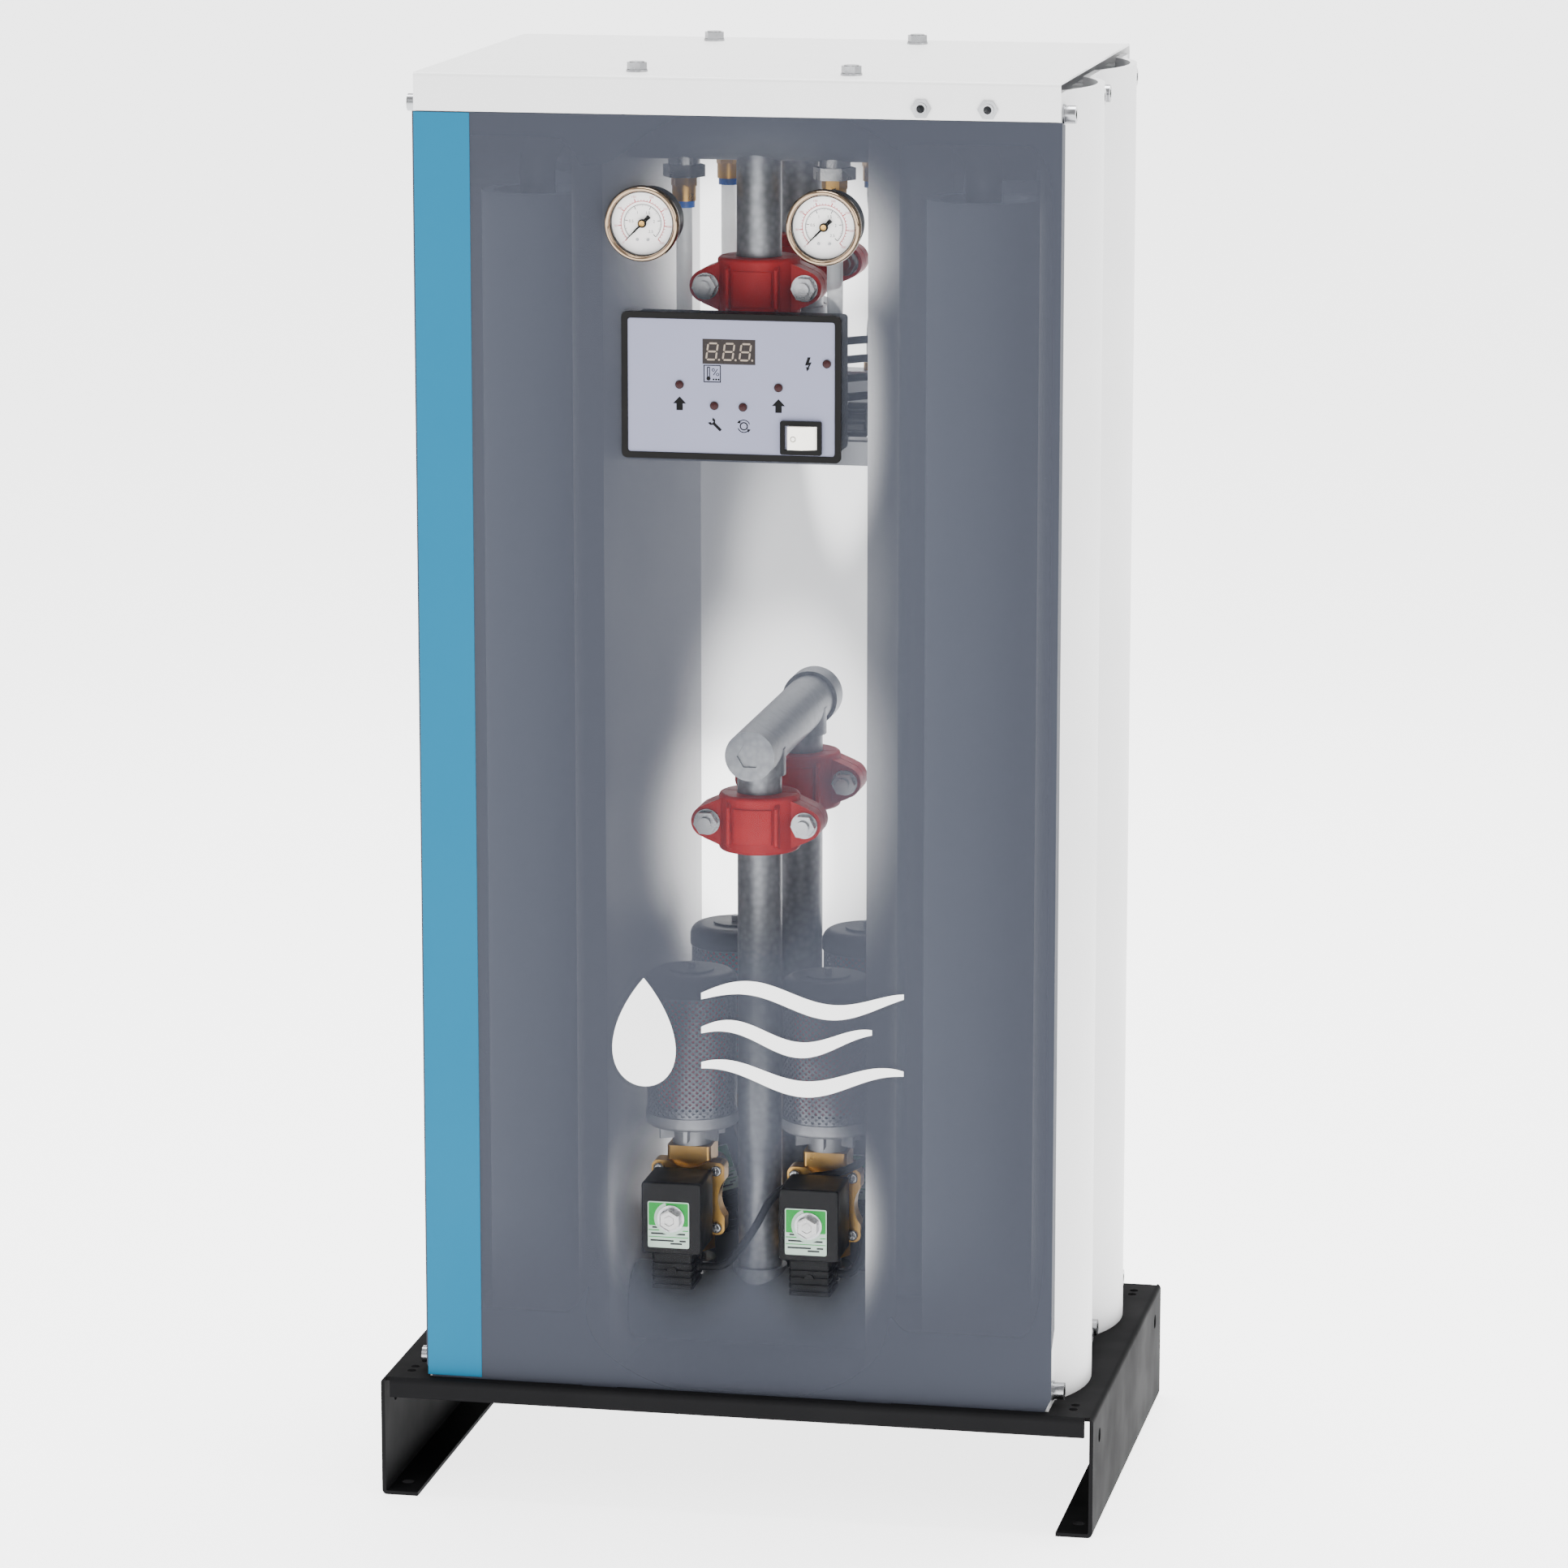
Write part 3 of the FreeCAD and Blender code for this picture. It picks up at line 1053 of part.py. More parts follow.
def controller_bezel():
    """The raised black frame, backed all over, with the windows cut through."""
    front = PANEL_FRONT - BEZEL_T
    frame = rounded(box(controller_span(0), (front, PANEL_FRONT), controller_rise(0)), 4.0, "y")
    recess = box(controller_span(BEZEL_RIM), (front - 1, front + 1), controller_rise(BEZEL_RIM))
    windows = [face_window(DISPLAY_AT, DISPLAY_W, DISPLAY_H, front, PANEL_FRONT + 1),
               face_window(SWITCH_AT, SWITCH_W - 3, SWITCH_H - 3, front, PANEL_FRONT + 1)]
    return frame.cut([rounded(recess, 2.0, "y")] + windows + lamp_rods(LAMP_D / 2, front, PANEL_FRONT + 1))


def controller_box():
    """The housing behind the panel, open to the front under the bezel."""
    x, z = controller_span(CONTROLLER_BOX_INSET), controller_rise(CONTROLLER_BOX_INSET)
    wall = CONTROLLER_BOX_WALL
    body = rounded(box(x, (PANEL_FRONT, CONTROLLER_BACK), z), 3.0, "y")
    hollow = box((x[0] + wall, x[1] - wall), (PANEL_FRONT - 1, CONTROLLER_BACK - wall),
                 (z[0] + wall, z[1] - wall))
    posts = []
    for px in (x[0] + wall + 4, x[1] - wall - 4):
        for pz in (z[0] + wall + 4, z[1] - wall - 4):
            posts.append(rod("y", px, pz, 4.0, board_y() + BOARD_T, CONTROLLER_BACK - wall / 2))
    shell = join([body.cut(hollow)] + posts)
    return shell.cut([rod("y", gx, gz, GLAND_D / 2 - 1.5, gy - 5, gy + 1) for gx, gy, gz in gland_places()])


def board_y():
    return PANEL_FRONT + 14.0


def circuit_board():
    """The board on its four posts, with the display block, the lamps' stems and a transformer on it."""
    x, z = controller_span(CONTROLLER_BOX_INSET), controller_rise(CONTROLLER_BOX_INSET)
    edge = CONTROLLER_BOX_WALL + GAP
    y = board_y()
    board = box((x[0] + edge, x[1] - edge), (y, y + BOARD_T), (z[0] + edge, z[1] - edge))
    board = board.cut(face_window(SWITCH_AT, SWITCH_W, SWITCH_H, y - 1, y + BOARD_T + 1))
    parts = [board, box((x[0] + 14, x[0] + 44), (y + BOARD_T, y + BOARD_T + 20), (z[0] + 18, z[0] + 42))]
    for i in range(3):
        at = x[0] + 58 + 20 * i
        parts.append(box((at, at + 11), (y + BOARD_T, y + BOARD_T + 13), (z[1] - 30, z[1] - 16)))
    return join(parts)


def display_and_lamps():
    """The three-figure display and five round indicator lamps in the face."""
    front = PANEL_FRONT - BEZEL_T + 0.8
    y = board_y()
    pieces = [face_window(DISPLAY_AT, DISPLAY_W, DISPLAY_H, front, y)]
    return group(pieces + lamp_rods(LAMP_D / 2, front - 0.8, y))


def switch_frame():
    """The snap-in frame of the rocker switch with its hollow back."""
    front = PANEL_FRONT - BEZEL_T
    rim = rounded(face_window(SWITCH_AT, SWITCH_W, SWITCH_H, front - 1.6, front + 1 - FILM), 1.5, "y")
    can = face_window(SWITCH_AT, SWITCH_W - 3, SWITCH_H - 3, front + 1 - FILM, PANEL_FRONT + 22)
    hollow = face_window(SWITCH_AT, ROCKER_W + 1, ROCKER_H + 1, front - 3, PANEL_FRONT + 19)
    blades = [face_window((SWITCH_AT[0] + dx, SWITCH_AT[1]), 0.8, 6.0, PANEL_FRONT + 20, PANEL_FRONT + 30)
              for dx in (-7, 0, 7)]
    return join([rim.cut(hollow), can.cut(hollow)] + blades)


def switch_pivot():
    return CONTROLLER_X + SWITCH_AT[0], PANEL_FRONT - BEZEL_T + 5.0, CONTROLLER_Z + SWITCH_AT[1]


def switch_rocker():
    """A rocker on an upright pivot, its right half pressed in. Both halves lean back from the middle."""
    x, y, z = switch_pivot()
    half = ROCKER_W / 2 - 0.6
    lean = tan(ROCKER_TILT * pi / 180)
    front = PANEL_FRONT - BEZEL_T - 4.2
    outline = [(x - half, front + half * lean), (x, front), (x + half, front + half * lean),
               (x + half - 1.5, y + 5), (x - half + 1.5, y + 5)]
    body = prism("z", outline, z - ROCKER_H / 2, z + ROCKER_H / 2)
    body.rotate(V(x, y, z), V(0, 0, 1), ROCKER_TILT)
    return body


def gland_places():
    """Where four valve cables and the supply enter the back of the controller box."""
    low = CONTROLLER_Z - 17
    places = [(VALVE_GLAND_X, CONTROLLER_BACK, low + VALVE_GLAND_PITCH * i) for i in range(4)]
    return places + [(SUPPLY_GLAND_X, CONTROLLER_BACK, CONTROLLER_Z)]


def cable_fittings():
    """The glands on the controller box and the clips that hold the cables to the right shell."""
    pieces = []
    for x, y, z in gland_places():
        nut = hexagon("y", x, z, GLAND_D + 1, y, y + 4)
        dome = rod("y", x, z, GLAND_D / 2, y, y + GLAND_L)
        sleeve = rod("y", x, z, GLAND_D / 2 - 1.5, y - 4, y)
        pieces.append(join([nut, dome, sleeve]).cut(rod("y", x, z, CABLE_D / 2, y - 5, y + GLAND_L + 1)))
    for z in CLIP_Z:
        clip = box((CABLE_LANE_X - CABLE_D / 2 - 1.5, BAY_HALF), (CABLE_LANES[0] - 6, CABLE_LANES[-1] + 6),
                   (z, z + 10))
        lanes = [rod("z", CABLE_LANE_X, y - 0.25, CABLE_D / 2 + 0.4, z - 1, z + 11) for y in CABLE_LANES]
        pieces.append(rounded(clip, 1.5, "z").cut(lanes))
    return group(pieces)


# ---------------------------------------------------------------- air lines and cables
def drop_places():
    return [(sx * DROP_X, sy * MANIFOLD_Y) for sx in (-1, 1) for sy in (-1, 1)]


def drop_levels():
    """Heights of the header's underside, hexagon foot, brass foot and collar foot of a drop fitting."""
    top = UPPER_MANIFOLD_Z - MANIFOLD_R
    return top, top - 13, top - 31, top - 36


def drop_fittings():
    """A steel boss and hexagon, a brass push-in body and its blue collar under each upper header port."""
    steel, brass, collars = [], [], []
    top, hex_foot, brass_foot, collar_foot = drop_levels()
    for x, y in drop_places():
        boss = ring("z", x, y, 12.0, 5.0, top - 4, UPPER_MANIFOLD_Z)
        boss = boss.cut(rod("x", y, UPPER_MANIFOLD_Z, MANIFOLD_R, x - 40, x + 40))
        nut = hexagon("z", x, y, HEX_AF, hex_foot, top - 4).cut(rod("z", x, y, 5.0, hex_foot - 1, top))
        steel.append(join([boss, nut]))
        body = hexagon("z", x, y, 17.0, hex_foot - 7, hex_foot)
        sleeve = rod("z", x, y, 9.0, brass_foot, hex_foot - 6)
        bore = [rod("z", x, y, 5.0, brass_foot - 1, hex_foot + 1),
                rod("z", x, y, AIR_LINE_D / 2 + TOUCH_GAP, brass_foot - 1, hex_foot - 8)]
        brass.append(join([body, sleeve]).cut(bore))
        collars.append(ring("z", x, y, COLLAR_D / 2, AIR_LINE_D / 2 + TOUCH_GAP, collar_foot, brass_foot))
    return group(steel), group(brass + purge_ports()), group(collars)


def air_line_routes():
    """Straight down on the left; on the right bowed round the coupling's lug."""
    routes = []
    start = drop_levels()[1] - 8
    foot = PURGE_Z[1]
    for end in (-1, 1):
        y = MANIFOLD_Y
        routes.append([(-DROP_X, end * y, start), (-DROP_X, end * y, foot)])
        out_x, out_y = DROP_X + AIR_LINE_BOW[0], y + AIR_LINE_BOW[1]
        bow = [(DROP_X, y, start), (DROP_X, y, start - 31), (out_x, out_y, UPPER_COUPLING_Z + 12),
               (out_x, out_y, UPPER_COUPLING_Z - 15), (DROP_X, y, UPPER_COUPLING_Z - 44), (DROP_X, y, foot)]
        routes.append([(a, end * b, c) for a, b, c in bow])
    return routes


def purge_ports():
    return [ring("z", x, y, 8.0, AIR_LINE_D / 2 + TOUCH_GAP, PURGE_Z[1], PURGE_Z[1] + 6)
            for x, y in drop_places()]


def knob_height():
    return PURGE_Z[0] + 15.0


def purge_blocks():
    """One block at each end of the bay meters purge air between its two towers."""
    blocks = []
    for end in (-1, 1):
        y = end * MANIFOLD_Y
        block = box((-PURGE_HALF_W, PURGE_HALF_W), (y - PURGE_D / 2, y + PURGE_D / 2), PURGE_Z)
        block = rounded(block, 2.5, "x")
        holes = [rod("z", s * DROP_X, y, 4.0, PURGE_Z[0] + 12, PURGE_Z[1] + 1) for s in (-1, 1)]
        holes.append(rod("x", y, knob_height(), 4.0, 8 - PURGE_HALF_W, PURGE_HALF_W + 1))
        blocks.append(block.cut(holes))
    return group(blocks)


def purge_knob():
    """A fluted knob on the front purge needle's stem."""
    y, z = -MANIFOLD_Y, knob_height()
    x = PURGE_HALF_W + 2
    knob = rod("x", y, z, KNOB_R, x, x + KNOB_L)
    knob = knob.makeFillet(2.0, [e for e in knob.Edges if e.Closed and e.CenterOfMass.x > x + KNOB_L - 1])
    flutes = []
    for i in range(10):
        t = 2 * pi * i / 10
        r = KNOB_R + 1
        flutes.append(rod("x", y + r * cos(t), z + r * sin(t), 2.2, x - 1, x + KNOB_L + 1))
    needle = rod("x", y, z, 3.8, PURGE_HALF_W - 30, x)
    return join([knob.cut(flutes), needle])


def angle_bars():
    """The two angle bars across the bay that carry the purge blocks."""
    bars = []
    foot = PURGE_Z[0] - BAR_H
    for end in (-1, 1):
        y = end * MANIFOLD_Y
        front = y - PURGE_D / 2
        upright = box((-BAY_HALF, BAY_HALF), (front, front + BAR_T), (foot, PURGE_Z[0]))
        shelf = box((-BAY_HALF, BAY_HALF), (front, front + PURGE_D), (PURGE_Z[0] - BAR_T, PURGE_Z[0]))
        bars.append(join([upright, shelf]))
    return bars


def cable_routes():
    """From each coil plug's gland, across to the right shell, up its inner face and into the controller."""
    exits = {}
    for name, (x, y) in STACKS.items():
        gland_y = coil_span(y)[0] + 3 + DIN_D / 2
        dx, dz = DIN_W / 2 + DIN_GLAND_L, -COIL_H / 2 - DIN_H / 2
        turn = COIL_TILT.get(name, 0.0) * pi / 180
        gx, gz = x + dx * cos(turn) + dz * sin(turn), VALVE_Z - dx * sin(turn) + dz * cos(turn)
        run = CABLE_EXIT_LEFT if x < 0 else CABLE_EXIT_RIGHT
        exits[name] = [(gx, gland_y, gz), (gx + run * cos(turn), gland_y, gz - run * sin(turn))]
    lane = CABLE_LANE_X
    across = {
        "front_left": [(4, -124, 208), (16, -113, 234), (40, -109, 248), (66, -110, 252),
                       (lane - 2, -100, 261), (lane, -62, 270), (lane, -36, 312)],
        "front_right": [(lane, -130, 190), (lane, -110, 212), (lane, -80, 242),
                        (lane, -46, 274), (lane, -26, 324)],
        "rear_left": [(18, 4, 202), (46, -12, 212), (76, -16, 232), (lane, -14, 268)],
        "rear_right": [(lane, 17, 190), (lane, 4, 216), (lane, -4, 256)],
    }
    routes = []
    for lane_y, (gx, gy, gz), name in zip(CABLE_LANES, gland_places(), STACKS):
        up = [(lane, lane_y, 372), (lane, lane_y - 0.5, gz - 84), (lane, lane_y - 8, gz - 36),
              (lane, lane_y - 24, gz - 8), (lane - 1, -74, gz), (gx, -104, gz), (gx, gy + GLAND_L, gz)]
        routes.append(exits[name] + across[name] + up)
    return routes


# ---------------------------------------------------------------- what moves inside the headers
def shuttle(y, z):
    """A double-ended shuttle that closes the header towards one tower at a time. Air passes its notches."""
    r = MANIFOLD_R - MANIFOLD_WALL - TOUCH_GAP
    near, far = SHUTTLE_DISC
    discs = []
    for s in (-1, 1):
        disc = rod("x", y, z, r, RISER_X + s * near, RISER_X + s * far)
        notches = []
        for i in range(6):
            t = i * pi / 3
            notches.append(rod("x", y + r * cos(t), z + r * sin(t), SHUTTLE_NOTCH_R,
                               s * (near - 1), s * (far + 1)))
        discs.append(disc.cut(notches))
    return join([rod("x", y, z, SHUTTLE_STEM_R, RISER_X - near, RISER_X + near)] + discs)


# ---------------------------------------------------------------- assembly
nodes["base_frame"] = base_frame()
right_shell = shell_right()
nodes["side_shell_right"] = right_shell
nodes["side_shell_left"] = mirror_x(right_shell)
nodes["top_cover"] = top_cover()
nodes["cross_bars"] = group(cover_rails() + angle_bars())
screws = [socket_screw(s, y, z) for s in SIDES.values() for y, z in shell_screw_places()]
nodes["casing_fasteners"] = group(screws + cover_fasteners())
nodes["front_panel"] = front_panel()
nodes["blue_stripe"] = blue_stripe()
nodes["drying_tubes"] = drying_tubes()
nodes["tube_end_plugs"] = end_plugs()
nodes["plug_seals"] = plug_seals()
nodes["desiccant_beds"] = desiccant_beds()
nodes["bed_retainers"] = group(bed_screens() + bed_springs())
nodes["upper_manifolds"] = group([upper_manifold(end) for end in ENDS.values()])
nodes["lower_manifolds"] = group([lower_manifold(end) for end in ENDS.values()])
for end_name, end in ENDS.items():
    nodes[f"outlet_shuttle_{end_name}"] = shuttle(end * MANIFOLD_Y, UPPER_MANIFOLD_Z)
    nodes[f"inlet_shuttle_{end_name}"] = shuttle(end * MANIFOLD_Y, LOWER_MANIFOLD_Z)
nodes["tower_connections"] = tower_connections()
nodes["risers"] = risers()
nodes["upper_crossover"] = crossover(UPPER_CROSSOVER_Z, UPPER_COUPLING_Z)
nodes["lower_crossover"] = crossover(LOWER_CROSSOVER_Z, LOWER_COUPLING_Z)
nodes["coupling_halves"] = coupling_halves()
nodes["coupling_gaskets"] = coupling_gaskets()
nodes["coupling_fasteners"] = coupling_fasteners()
nodes["valve_bodies"] = group([valve_body(x, y) for x, y in STACKS.values()])
nodes["valve_bonnets"] = group([valve_bonnet(x, y) for x, y in STACKS.values()])
nodes["valve_fasteners"] = group([s for x, y in STACKS.values() for s in bonnet_screws(x, y)])
nodes["valve_coils"] = group([valve_coil(name, x, y) for name, (x, y) in STACKS.items()])
nodes["coil_plugs"] = group([coil_plug(name, x, y) for name, (x, y) in STACKS.items()])
nodes["valve_nipples"] = group([s for x, y in STACKS.values() for s in valve_nipples(x, y)])
for name, (x, y) in STACKS.items():
    nodes[f"valve_plunger_{name}"] = valve_plunger(x, y)
silencers = [silencer(x, y) for x, y in STACKS.values()]
for i, name in enumerate(("silencer_bases", "silencer_jackets", "silencer_elements", "silencer_caps")):
    nodes[name] = group([pieces[i] for pieces in silencers])
gauges = [gauge(side) for side in SIDES.values()]
for i, name in enumerate(("gauge_cases", "gauge_bezels", "gauge_dials", "gauge_lenses")):
    nodes[name] = group([pieces[i] for pieces in gauges])
for side_name, side in SIDES.items():
    nodes[f"gauge_needle_{side_name}"] = gauge_needle(side)
nodes["controller_bezel"] = controller_bezel()
nodes["controller_box"] = controller_box()
nodes["circuit_board"] = circuit_board()
nodes["display_and_lamps"] = display_and_lamps()
nodes["switch_frame"] = switch_frame()
nodes["switch_rocker"] = switch_rocker()
nodes["cable_fittings"] = cable_fittings()
nodes["drop_adapters"], nodes["push_fittings"], nodes["fitting_collars"] = drop_fittings()
nodes["air_lines"] = group([tube_along(route, AIR_LINE_D) for route in air_line_routes()])
nodes["purge_blocks"] = purge_blocks()
nodes["purge_knob"] = purge_knob()
nodes["valve_cables"] = group([tube_along(route, CABLE_D) for route in cable_routes()])

for name, shape in nodes.items():
    if not shape.isValid():
        print("not valid:", name)
    shape.exportStep(f"parts/{name}.step")
print(len(nodes), "nodes")
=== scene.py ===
import json
from math import cos, pi, radians, sin

import bpy
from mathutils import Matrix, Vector


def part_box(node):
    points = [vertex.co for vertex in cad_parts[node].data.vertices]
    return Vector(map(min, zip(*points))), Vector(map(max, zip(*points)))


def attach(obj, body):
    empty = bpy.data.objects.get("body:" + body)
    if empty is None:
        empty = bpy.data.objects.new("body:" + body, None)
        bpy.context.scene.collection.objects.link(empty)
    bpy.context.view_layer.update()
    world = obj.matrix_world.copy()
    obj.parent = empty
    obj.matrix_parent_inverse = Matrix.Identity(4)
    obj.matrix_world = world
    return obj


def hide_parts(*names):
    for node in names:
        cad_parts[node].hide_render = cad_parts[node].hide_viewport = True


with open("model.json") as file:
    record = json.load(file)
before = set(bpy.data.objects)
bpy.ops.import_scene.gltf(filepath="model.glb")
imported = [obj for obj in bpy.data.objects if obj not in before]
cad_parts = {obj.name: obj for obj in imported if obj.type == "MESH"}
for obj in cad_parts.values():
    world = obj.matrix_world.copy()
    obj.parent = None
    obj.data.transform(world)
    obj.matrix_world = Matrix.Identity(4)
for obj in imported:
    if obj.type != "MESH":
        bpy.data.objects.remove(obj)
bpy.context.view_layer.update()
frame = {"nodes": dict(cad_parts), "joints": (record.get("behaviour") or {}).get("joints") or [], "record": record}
MM = 0.001
ROUGH_SPREAD = 0.06  # how far a finish's roughness drifts either way


# ------------------------------------------------------------------ camera, floor and lights
def look_at(thing, target):
    """Turns a camera or lamp to face a point."""
    thing.rotation_euler = (Vector(target) - thing.location).to_track_quat("-Z", "Y").to_euler()


bpy.ops.object.camera_add(location=(0.9134, -4.584, 1.4894))
camera = bpy.context.object
look_at(camera, (0.0025, 0.0, 0.530))
camera.data.lens = 142.2
camera.data.sensor_width = 36
bpy.context.scene.camera = camera


def soft_light(place, target, size, watts):
    """A round white lamp, as wide as size in metres."""
    bpy.ops.object.light_add(type="AREA", location=place)
    light = bpy.context.object
    light.data.shape = "DISK"
    light.data.size = size
    light.data.energy = watts
    look_at(light, target)


soft_light((-2.6, -3.4, 3.0), (0, 0, 0.6), 2.4, 70)
soft_light((3.4, -1.2, 2.2), (0.1, 0, 0.6), 2.2, 60)
soft_light((0.2, -4.4, 1.0), (0, 0, 0.5), 2.0, 28)
soft_light((0.0, 0.6, 4.2), (0, 0, 0.9), 2.6, 330)
soft_light((-0.4, 2.8, 1.6), (0, 0, 0.5), 1.8, 15)

# ------------------------------------------------------------------ finishes


def paint(code):
    """A colour as printed, in hex, turned to the linear values that light adds up in."""
    parts = [int(code[i:i + 2], 16) / 255 for i in (1, 3, 5)]
    return tuple(c / 12.92 if c <= 0.04045 else ((c + 0.055) / 1.055) ** 2.4 for c in parts) + (1,)


def add_node(tree, kind, settings=None, inputs=None):
    """A node with its settings. Each input is a value or the socket that feeds it."""
    node = tree.nodes.new(kind)
    for key, value in (settings or {}).items():
        setattr(node, key, value)
    for key, value in (inputs or {}).items():
        if isinstance(value, bpy.types.NodeSocket):
            tree.links.new(value, node.inputs[key])
        else:
            node.inputs[key].default_value = value
    return node


def new_finish(name, values):
    """A material with constants set on its shader. Returns it, its node tree and its shader."""
    made = bpy.data.materials.new(name)
    made.use_nodes = True
    shader = made.node_tree.nodes["Principled BSDF"]
    for key, value in values.items():
        shader.inputs[key].default_value = value
    return made, made.node_tree, shader


def surface(name, colour, darker, grain, depth, patch=60, **values):
    """A finish with a fine grain, in mm across and deep, and a slow drift of shade from patch to patch."""
    made, tree, shader = new_finish(name, {"Base Color": paint(colour), **values})
    place = add_node(tree, "ShaderNodeTexCoord").outputs["Object"]
    drift = add_node(tree, "ShaderNodeTexNoise", {}, {"Vector": place, "Scale": 1000 / patch, "Detail": 3.0})
    shade = add_node(tree, "ShaderNodeMix", {"data_type": "RGBA"},
                     {0: drift.outputs["Fac"], 6: paint(colour), 7: paint(darker)})
    tree.links.new(shade.outputs[2], shader.inputs["Base Color"])
    fine = add_node(tree, "ShaderNodeTexNoise", {}, {"Vector": place, "Scale": 1000 / grain, "Detail": 2.0})
    bump = add_node(tree, "ShaderNodeBump", {},
                    {"Height": fine.outputs["Fac"], "Distance": depth * MM, "Strength": 1.0})
    tree.links.new(bump.outputs["Normal"], shader.inputs["Normal"])
    rough = values.get("Roughness", 0.5)
    low, high = max(rough - ROUGH_SPREAD, 0.02), min(rough + ROUGH_SPREAD, 1.0)
    spread = add_node(tree, "ShaderNodeMapRange", {},
                      {"Value": drift.outputs["Fac"], "From Min": 0.3, "From Max": 0.7,
                       "To Min": low, "To Max": high})
    tree.links.new(spread.outputs[0], shader.inputs["Roughness"])
    return made


finishes = {}
# Here and among the inks, a grain really finer than 2 mm is drawn three times coarser, so that it shows.
# Dull plastics and paints throw back little of the lamps: a low specular level keeps their blacks deep.
satin = {"Specular IOR Level": 0.12}
# Polyester powder coat on folded steel: matt black, with a slight orange peel.
finishes["powder_black"] = surface("black_powder_coat", "#1B1B1C", "#161617", 4.5, 0.02,
                                   Roughness=0.6, **{"Specular IOR Level": 0.02})
# The same coat in white: a little smoother, with a faint sheen.
finishes["powder_white"] = surface("white_powder_coat", "#F1F1F1", "#EAEAEA", 4.5, 0.01, Roughness=0.42)
# Extruded aluminium under a light grey-white coat, smooth with a faint sheen.
finishes["white_aluminium"] = surface("coated_extrusion", "#E6E6E6", "#DCDCDD", 2.0, 0.008, 120,
                                      Roughness=0.4)
# Mill-finish aluminium bar: soft grey metal with a faint mottle.
finishes["bare_aluminium"] = surface("mill_aluminium", "#B4B6B9", "#A3A5A9", 2.4, 0.01, 25,
                                     Roughness=0.38, Metallic=1.0)
# Bright zinc plating on fasteners: near-silver, clean, a little cloudy.
finishes["zinc_steel"] = surface("zinc_plate", "#A2A3A5", "#8E8F92", 1.8, 0.004, 12,
                                 Roughness=0.25, Metallic=1.0)
# Nitrile rubber: matt and nearly black.
finishes["seal_rubber"] = surface("nitrile_rubber", "#1C1C1D", "#151516", 2.4, 0.02, 10,
                                  **satin, Roughness=0.8)
# Grey primer on welded steel headers: dull, with a light mottle.
finishes["manifold_steel"] = surface("grey_primer", "#5E6063", "#4E5053", 4.2, 0.03, 30,
                                     **satin, Roughness=0.55)
# Red enamel over cast iron: the sand-cast skin shows through the paint as shallow pits.
finishes["coupling_red"] = surface("enamelled_cast_iron", "#B82524", "#961C1D", 4.8, 0.32, 14,
                                   **satin, Roughness=0.46)
# Cast brass, as it comes from shot blasting: warm, with a fine satin skin.
finishes["brass"] = surface("cast_brass", "#C49C58", "#A57E3E", 3.0, 0.06, 12, Roughness=0.33, Metallic=1.0)
# Glass-filled nylon resin moulded round the coils: black, slightly glossy on its flat faces.
finishes["coil_black"] = surface("moulded_resin", "#0B0A0B", "#080809", 2.1, 0.012, 20,
                                 **satin, Roughness=0.4)
# Moulded nylon plugs: black and a little duller than the coils.
finishes["plug_black"] = surface("moulded_nylon", "#0B0B0C", "#080808", 2.1, 0.015, 20,
                                 **satin, Roughness=0.5)
# Zinc die casting, tumbled: mid grey with small shade changes.
finishes["die_cast"] = surface("tumbled_die_casting", "#A9AAAD", "#929397", 2.7, 0.03, 14,
                               Roughness=0.48, Metallic=0.7)
# Punched steel sheet: grey bare metal, bright along the edges of its holes.
finishes["mesh_steel"] = surface("punched_sheet", "#7E8084", "#6C6E73", 2.1, 0.006, 12,
                                 Roughness=0.35, Metallic=1.0)
# Needled polyester felt, dyed pink: soft and quite dull, with its fibres showing as a fine fuzz.
finishes["element_red"] = surface("pink_felt", "#D93A4A", "#C42E3E", 2.7, 0.25, 6, Roughness=0.92)
# Injection-moulded end caps: near-black and smooth, with a soft shine.
finishes["cap_black"] = surface("polished_cap", "#16171A", "#111215", 3.0, 0.008, 30,
                                **satin, Roughness=0.33)
# Baked black enamel on the gauge cases: deep black and smooth.
finishes["gauge_black"] = surface("black_enamel", "#0A0A0B", "#070707", 3.0, 0.01, 15,
                                  **satin, Roughness=0.35)
# Polished chrome plate with the slight warmth of a nickel undercoat.
finishes["chrome"] = surface("warm_chrome", "#A8937C", "#8C7862", 3.0, 0.002, 20,
                             Roughness=0.12, Metallic=1.0)
# Printed aluminium dial: an even matt white.
finishes["dial_white"] = surface("printed_dial", "#FAF8F7", "#F3F0EF", 2.4, 0.003, 12, Roughness=0.5)
# Stoved black paint on pressed brass: flat and very dark.
finishes["needle_black"] = surface("stoved_black", "#060606", "#040404", 1.5, 0.004, 8,
                                   **satin, Roughness=0.5)
# Textured ABS moulding: matt black, with a fine spark-eroded grain.
finishes["bezel_black"] = surface("textured_abs", "#0E0D0D", "#0A0A0A", 1.8, 0.02, 25,
                                  **satin, Roughness=0.5)
# Plain ABS moulding: charcoal, a shade lighter than the bezel before it.
finishes["housing_black"] = surface("black_abs", "#222325", "#1B1C1E", 2.1, 0.02, 30,
                                    **satin, Roughness=0.5)
# Solder mask over a circuit board: mid green with a soft gloss.
finishes["board_green"] = surface("solder_mask", "#1F6B3B", "#175A2F", 2.4, 0.02, 8, Roughness=0.35)
# Smoked acrylic over the dark display: brown-black and glossy.
finishes["lens_red"] = surface("smoked_acrylic", "#2B2625", "#242020", 2.0, 0.003, 10,
                               **satin, Roughness=0.25)
# Polished nylon round the rocker: deep black, glossier than the other plastics.
finishes["switch_black"] = surface("gloss_nylon", "#070707", "#050505", 2.4, 0.005, 15,
                                   **satin, Roughness=0.35)
